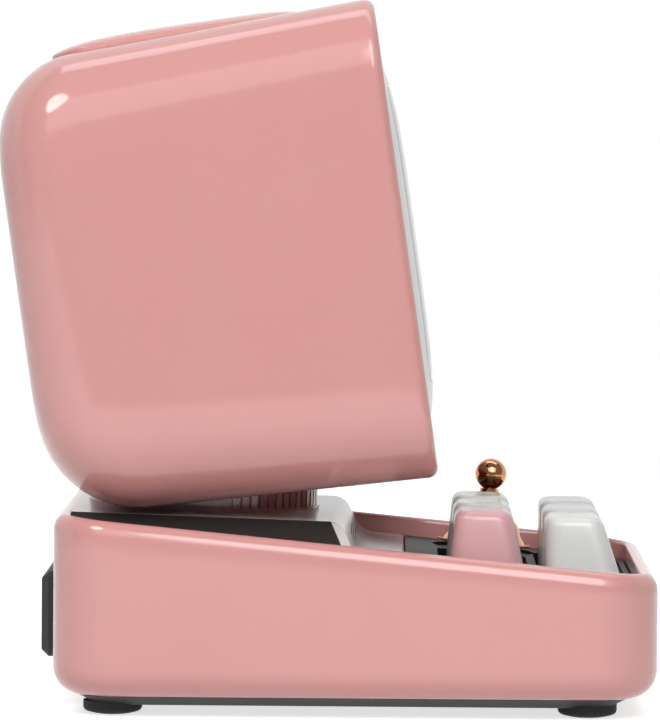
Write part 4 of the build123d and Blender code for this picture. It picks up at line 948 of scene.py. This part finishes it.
floor_paint, tree = new_finish("studio_floor_white")
rays = add(tree, "ShaderNodeLightPath")
diffuse = add(tree, "ShaderNodeBsdfDiffuse", {"Color": linear("#EDEDED")})
glow = add(tree, "ShaderNodeEmission", {"Color": (1, 1, 1, 1), "Strength": 0.7})
lit = add(tree, "ShaderNodeAddShader", {0: diffuse.outputs[0], 1: glow.outputs[0]})
seen_by = add(
    tree,
    "ShaderNodeMath",
    {0: rays.outputs["Is Camera Ray"], 1: rays.outputs["Is Glossy Ray"]},
    operation="MAXIMUM",
)
seen_by = add(
    tree,
    "ShaderNodeMath",
    {0: seen_by.outputs[0], 1: rays.outputs["Is Transmission Ray"]},
    operation="MAXIMUM",
)
seen = add(
    tree,
    "ShaderNodeMixShader",
    {0: seen_by.outputs[0], 1: diffuse.outputs[0], 2: lit.outputs[0]},
)
add(tree, "ShaderNodeOutputMaterial", {"Surface": seen.outputs[0]})
floor_mesh.materials.append(floor_paint)

# %% [markdown]
# ### The white room
#
# One world shader serves three kinds of ray. The camera and clear pieces see plain white, mirrors see
# a backdrop that is white low down and dim above, and the rest gives the object a very weak fill.

# %% White room
world = bpy.data.worlds.new("studio")
bpy.context.scene.world = world
world.use_nodes = True
world.node_tree.nodes.clear()
tree = world.node_tree
rays = add(tree, "ShaderNodeLightPath")
fill = add(tree, "ShaderNodeBackground", {"Color": (1, 1, 1, 1), "Strength": 0.02})
# Reflections: the backdrop behind the object is white up to a little over half way to overhead,
# and the room above it and on the lamps' side is dim.
heading = add(tree, "ShaderNodeTexCoord").outputs["Generated"]
under_edge = add(
    tree, "ShaderNodeVectorMath", {0: heading, 1: (0.8, 0.0, -0.6)}, operation="DOT_PRODUCT"
)
backdrop = add(
    tree,
    "ShaderNodeMapRange",
    {
        "Value": under_edge.outputs["Value"],
        "From Min": -0.12,
        "From Max": 0.02,
        "To Min": 0.3,
        "To Max": 1.0,
    },
)
mirrored = add(
    tree, "ShaderNodeBackground", {"Color": (1, 1, 1, 1), "Strength": backdrop.outputs[0]}
)
white = add(tree, "ShaderNodeBackground", {"Color": (1, 1, 1, 1), "Strength": 1.0})
glossy = add(
    tree,
    "ShaderNodeMixShader",
    {0: rays.outputs["Is Glossy Ray"], 1: fill.outputs[0], 2: mirrored.outputs[0]},
)
direct = add(
    tree,
    "ShaderNodeMath",
    {0: rays.outputs["Is Camera Ray"], 1: rays.outputs["Is Transmission Ray"]},
    operation="MAXIMUM",
)
mixed = add(
    tree, "ShaderNodeMixShader", {0: direct.outputs[0], 1: glossy.outputs[0], 2: white.outputs[0]}
)
add(tree, "ShaderNodeOutputWorld", {"Surface": mixed.outputs[0]})


# %% [markdown]
# ### Soft boxes
#
# A soft box is an area lamp. Its radiance, which does not change with its size, sets how bright its
# reflection looks, and its energy follows from that and its area.


# %% Soft boxes
def softbox(name, spot, target, width, height, radiance, shape="RECTANGLE"):
    """A soft light that faces a point, as bright as radiance times a white wall in plain light."""
    data = bpy.data.lights.new(name, "AREA")
    data.shape = shape
    data.size, data.size_y = width, height
    area = width * height * (math.pi / 4 if shape == "ELLIPSE" else 1)
    data.energy = radiance * area * math.pi
    lamp = bpy.data.objects.new(name, data)
    bpy.context.scene.collection.objects.link(lamp)
    spot, target = Vector(spot), Vector(target)
    facing = (target - spot).to_track_quat("-Z", "Y").to_matrix().to_4x4()
    lamp.matrix_world = Matrix.Translation(spot) @ facing
    lamp.visible_camera = False
    return lamp


middle = (0, 0, 0.07)
softbox("key_octabox", (-0.667, -0.166, 0.57), middle, 0.4, 0.6, 5.0, "ELLIPSE")
softbox("rear_lamp", (-0.5, 0.5, 0.85), middle, 0.36, 0.36, 11.0, "ELLIPSE")
softbox("side_wall", (-2.0, 0.0, 1.6), middle, 3.6, 1.7, 1.35)
softbox("overhead_strip", (0.35, -0.1, 1.2), middle, 1.2, 0.35, 2.5)
bpy.context.scene.view_settings.view_transform = "Standard"
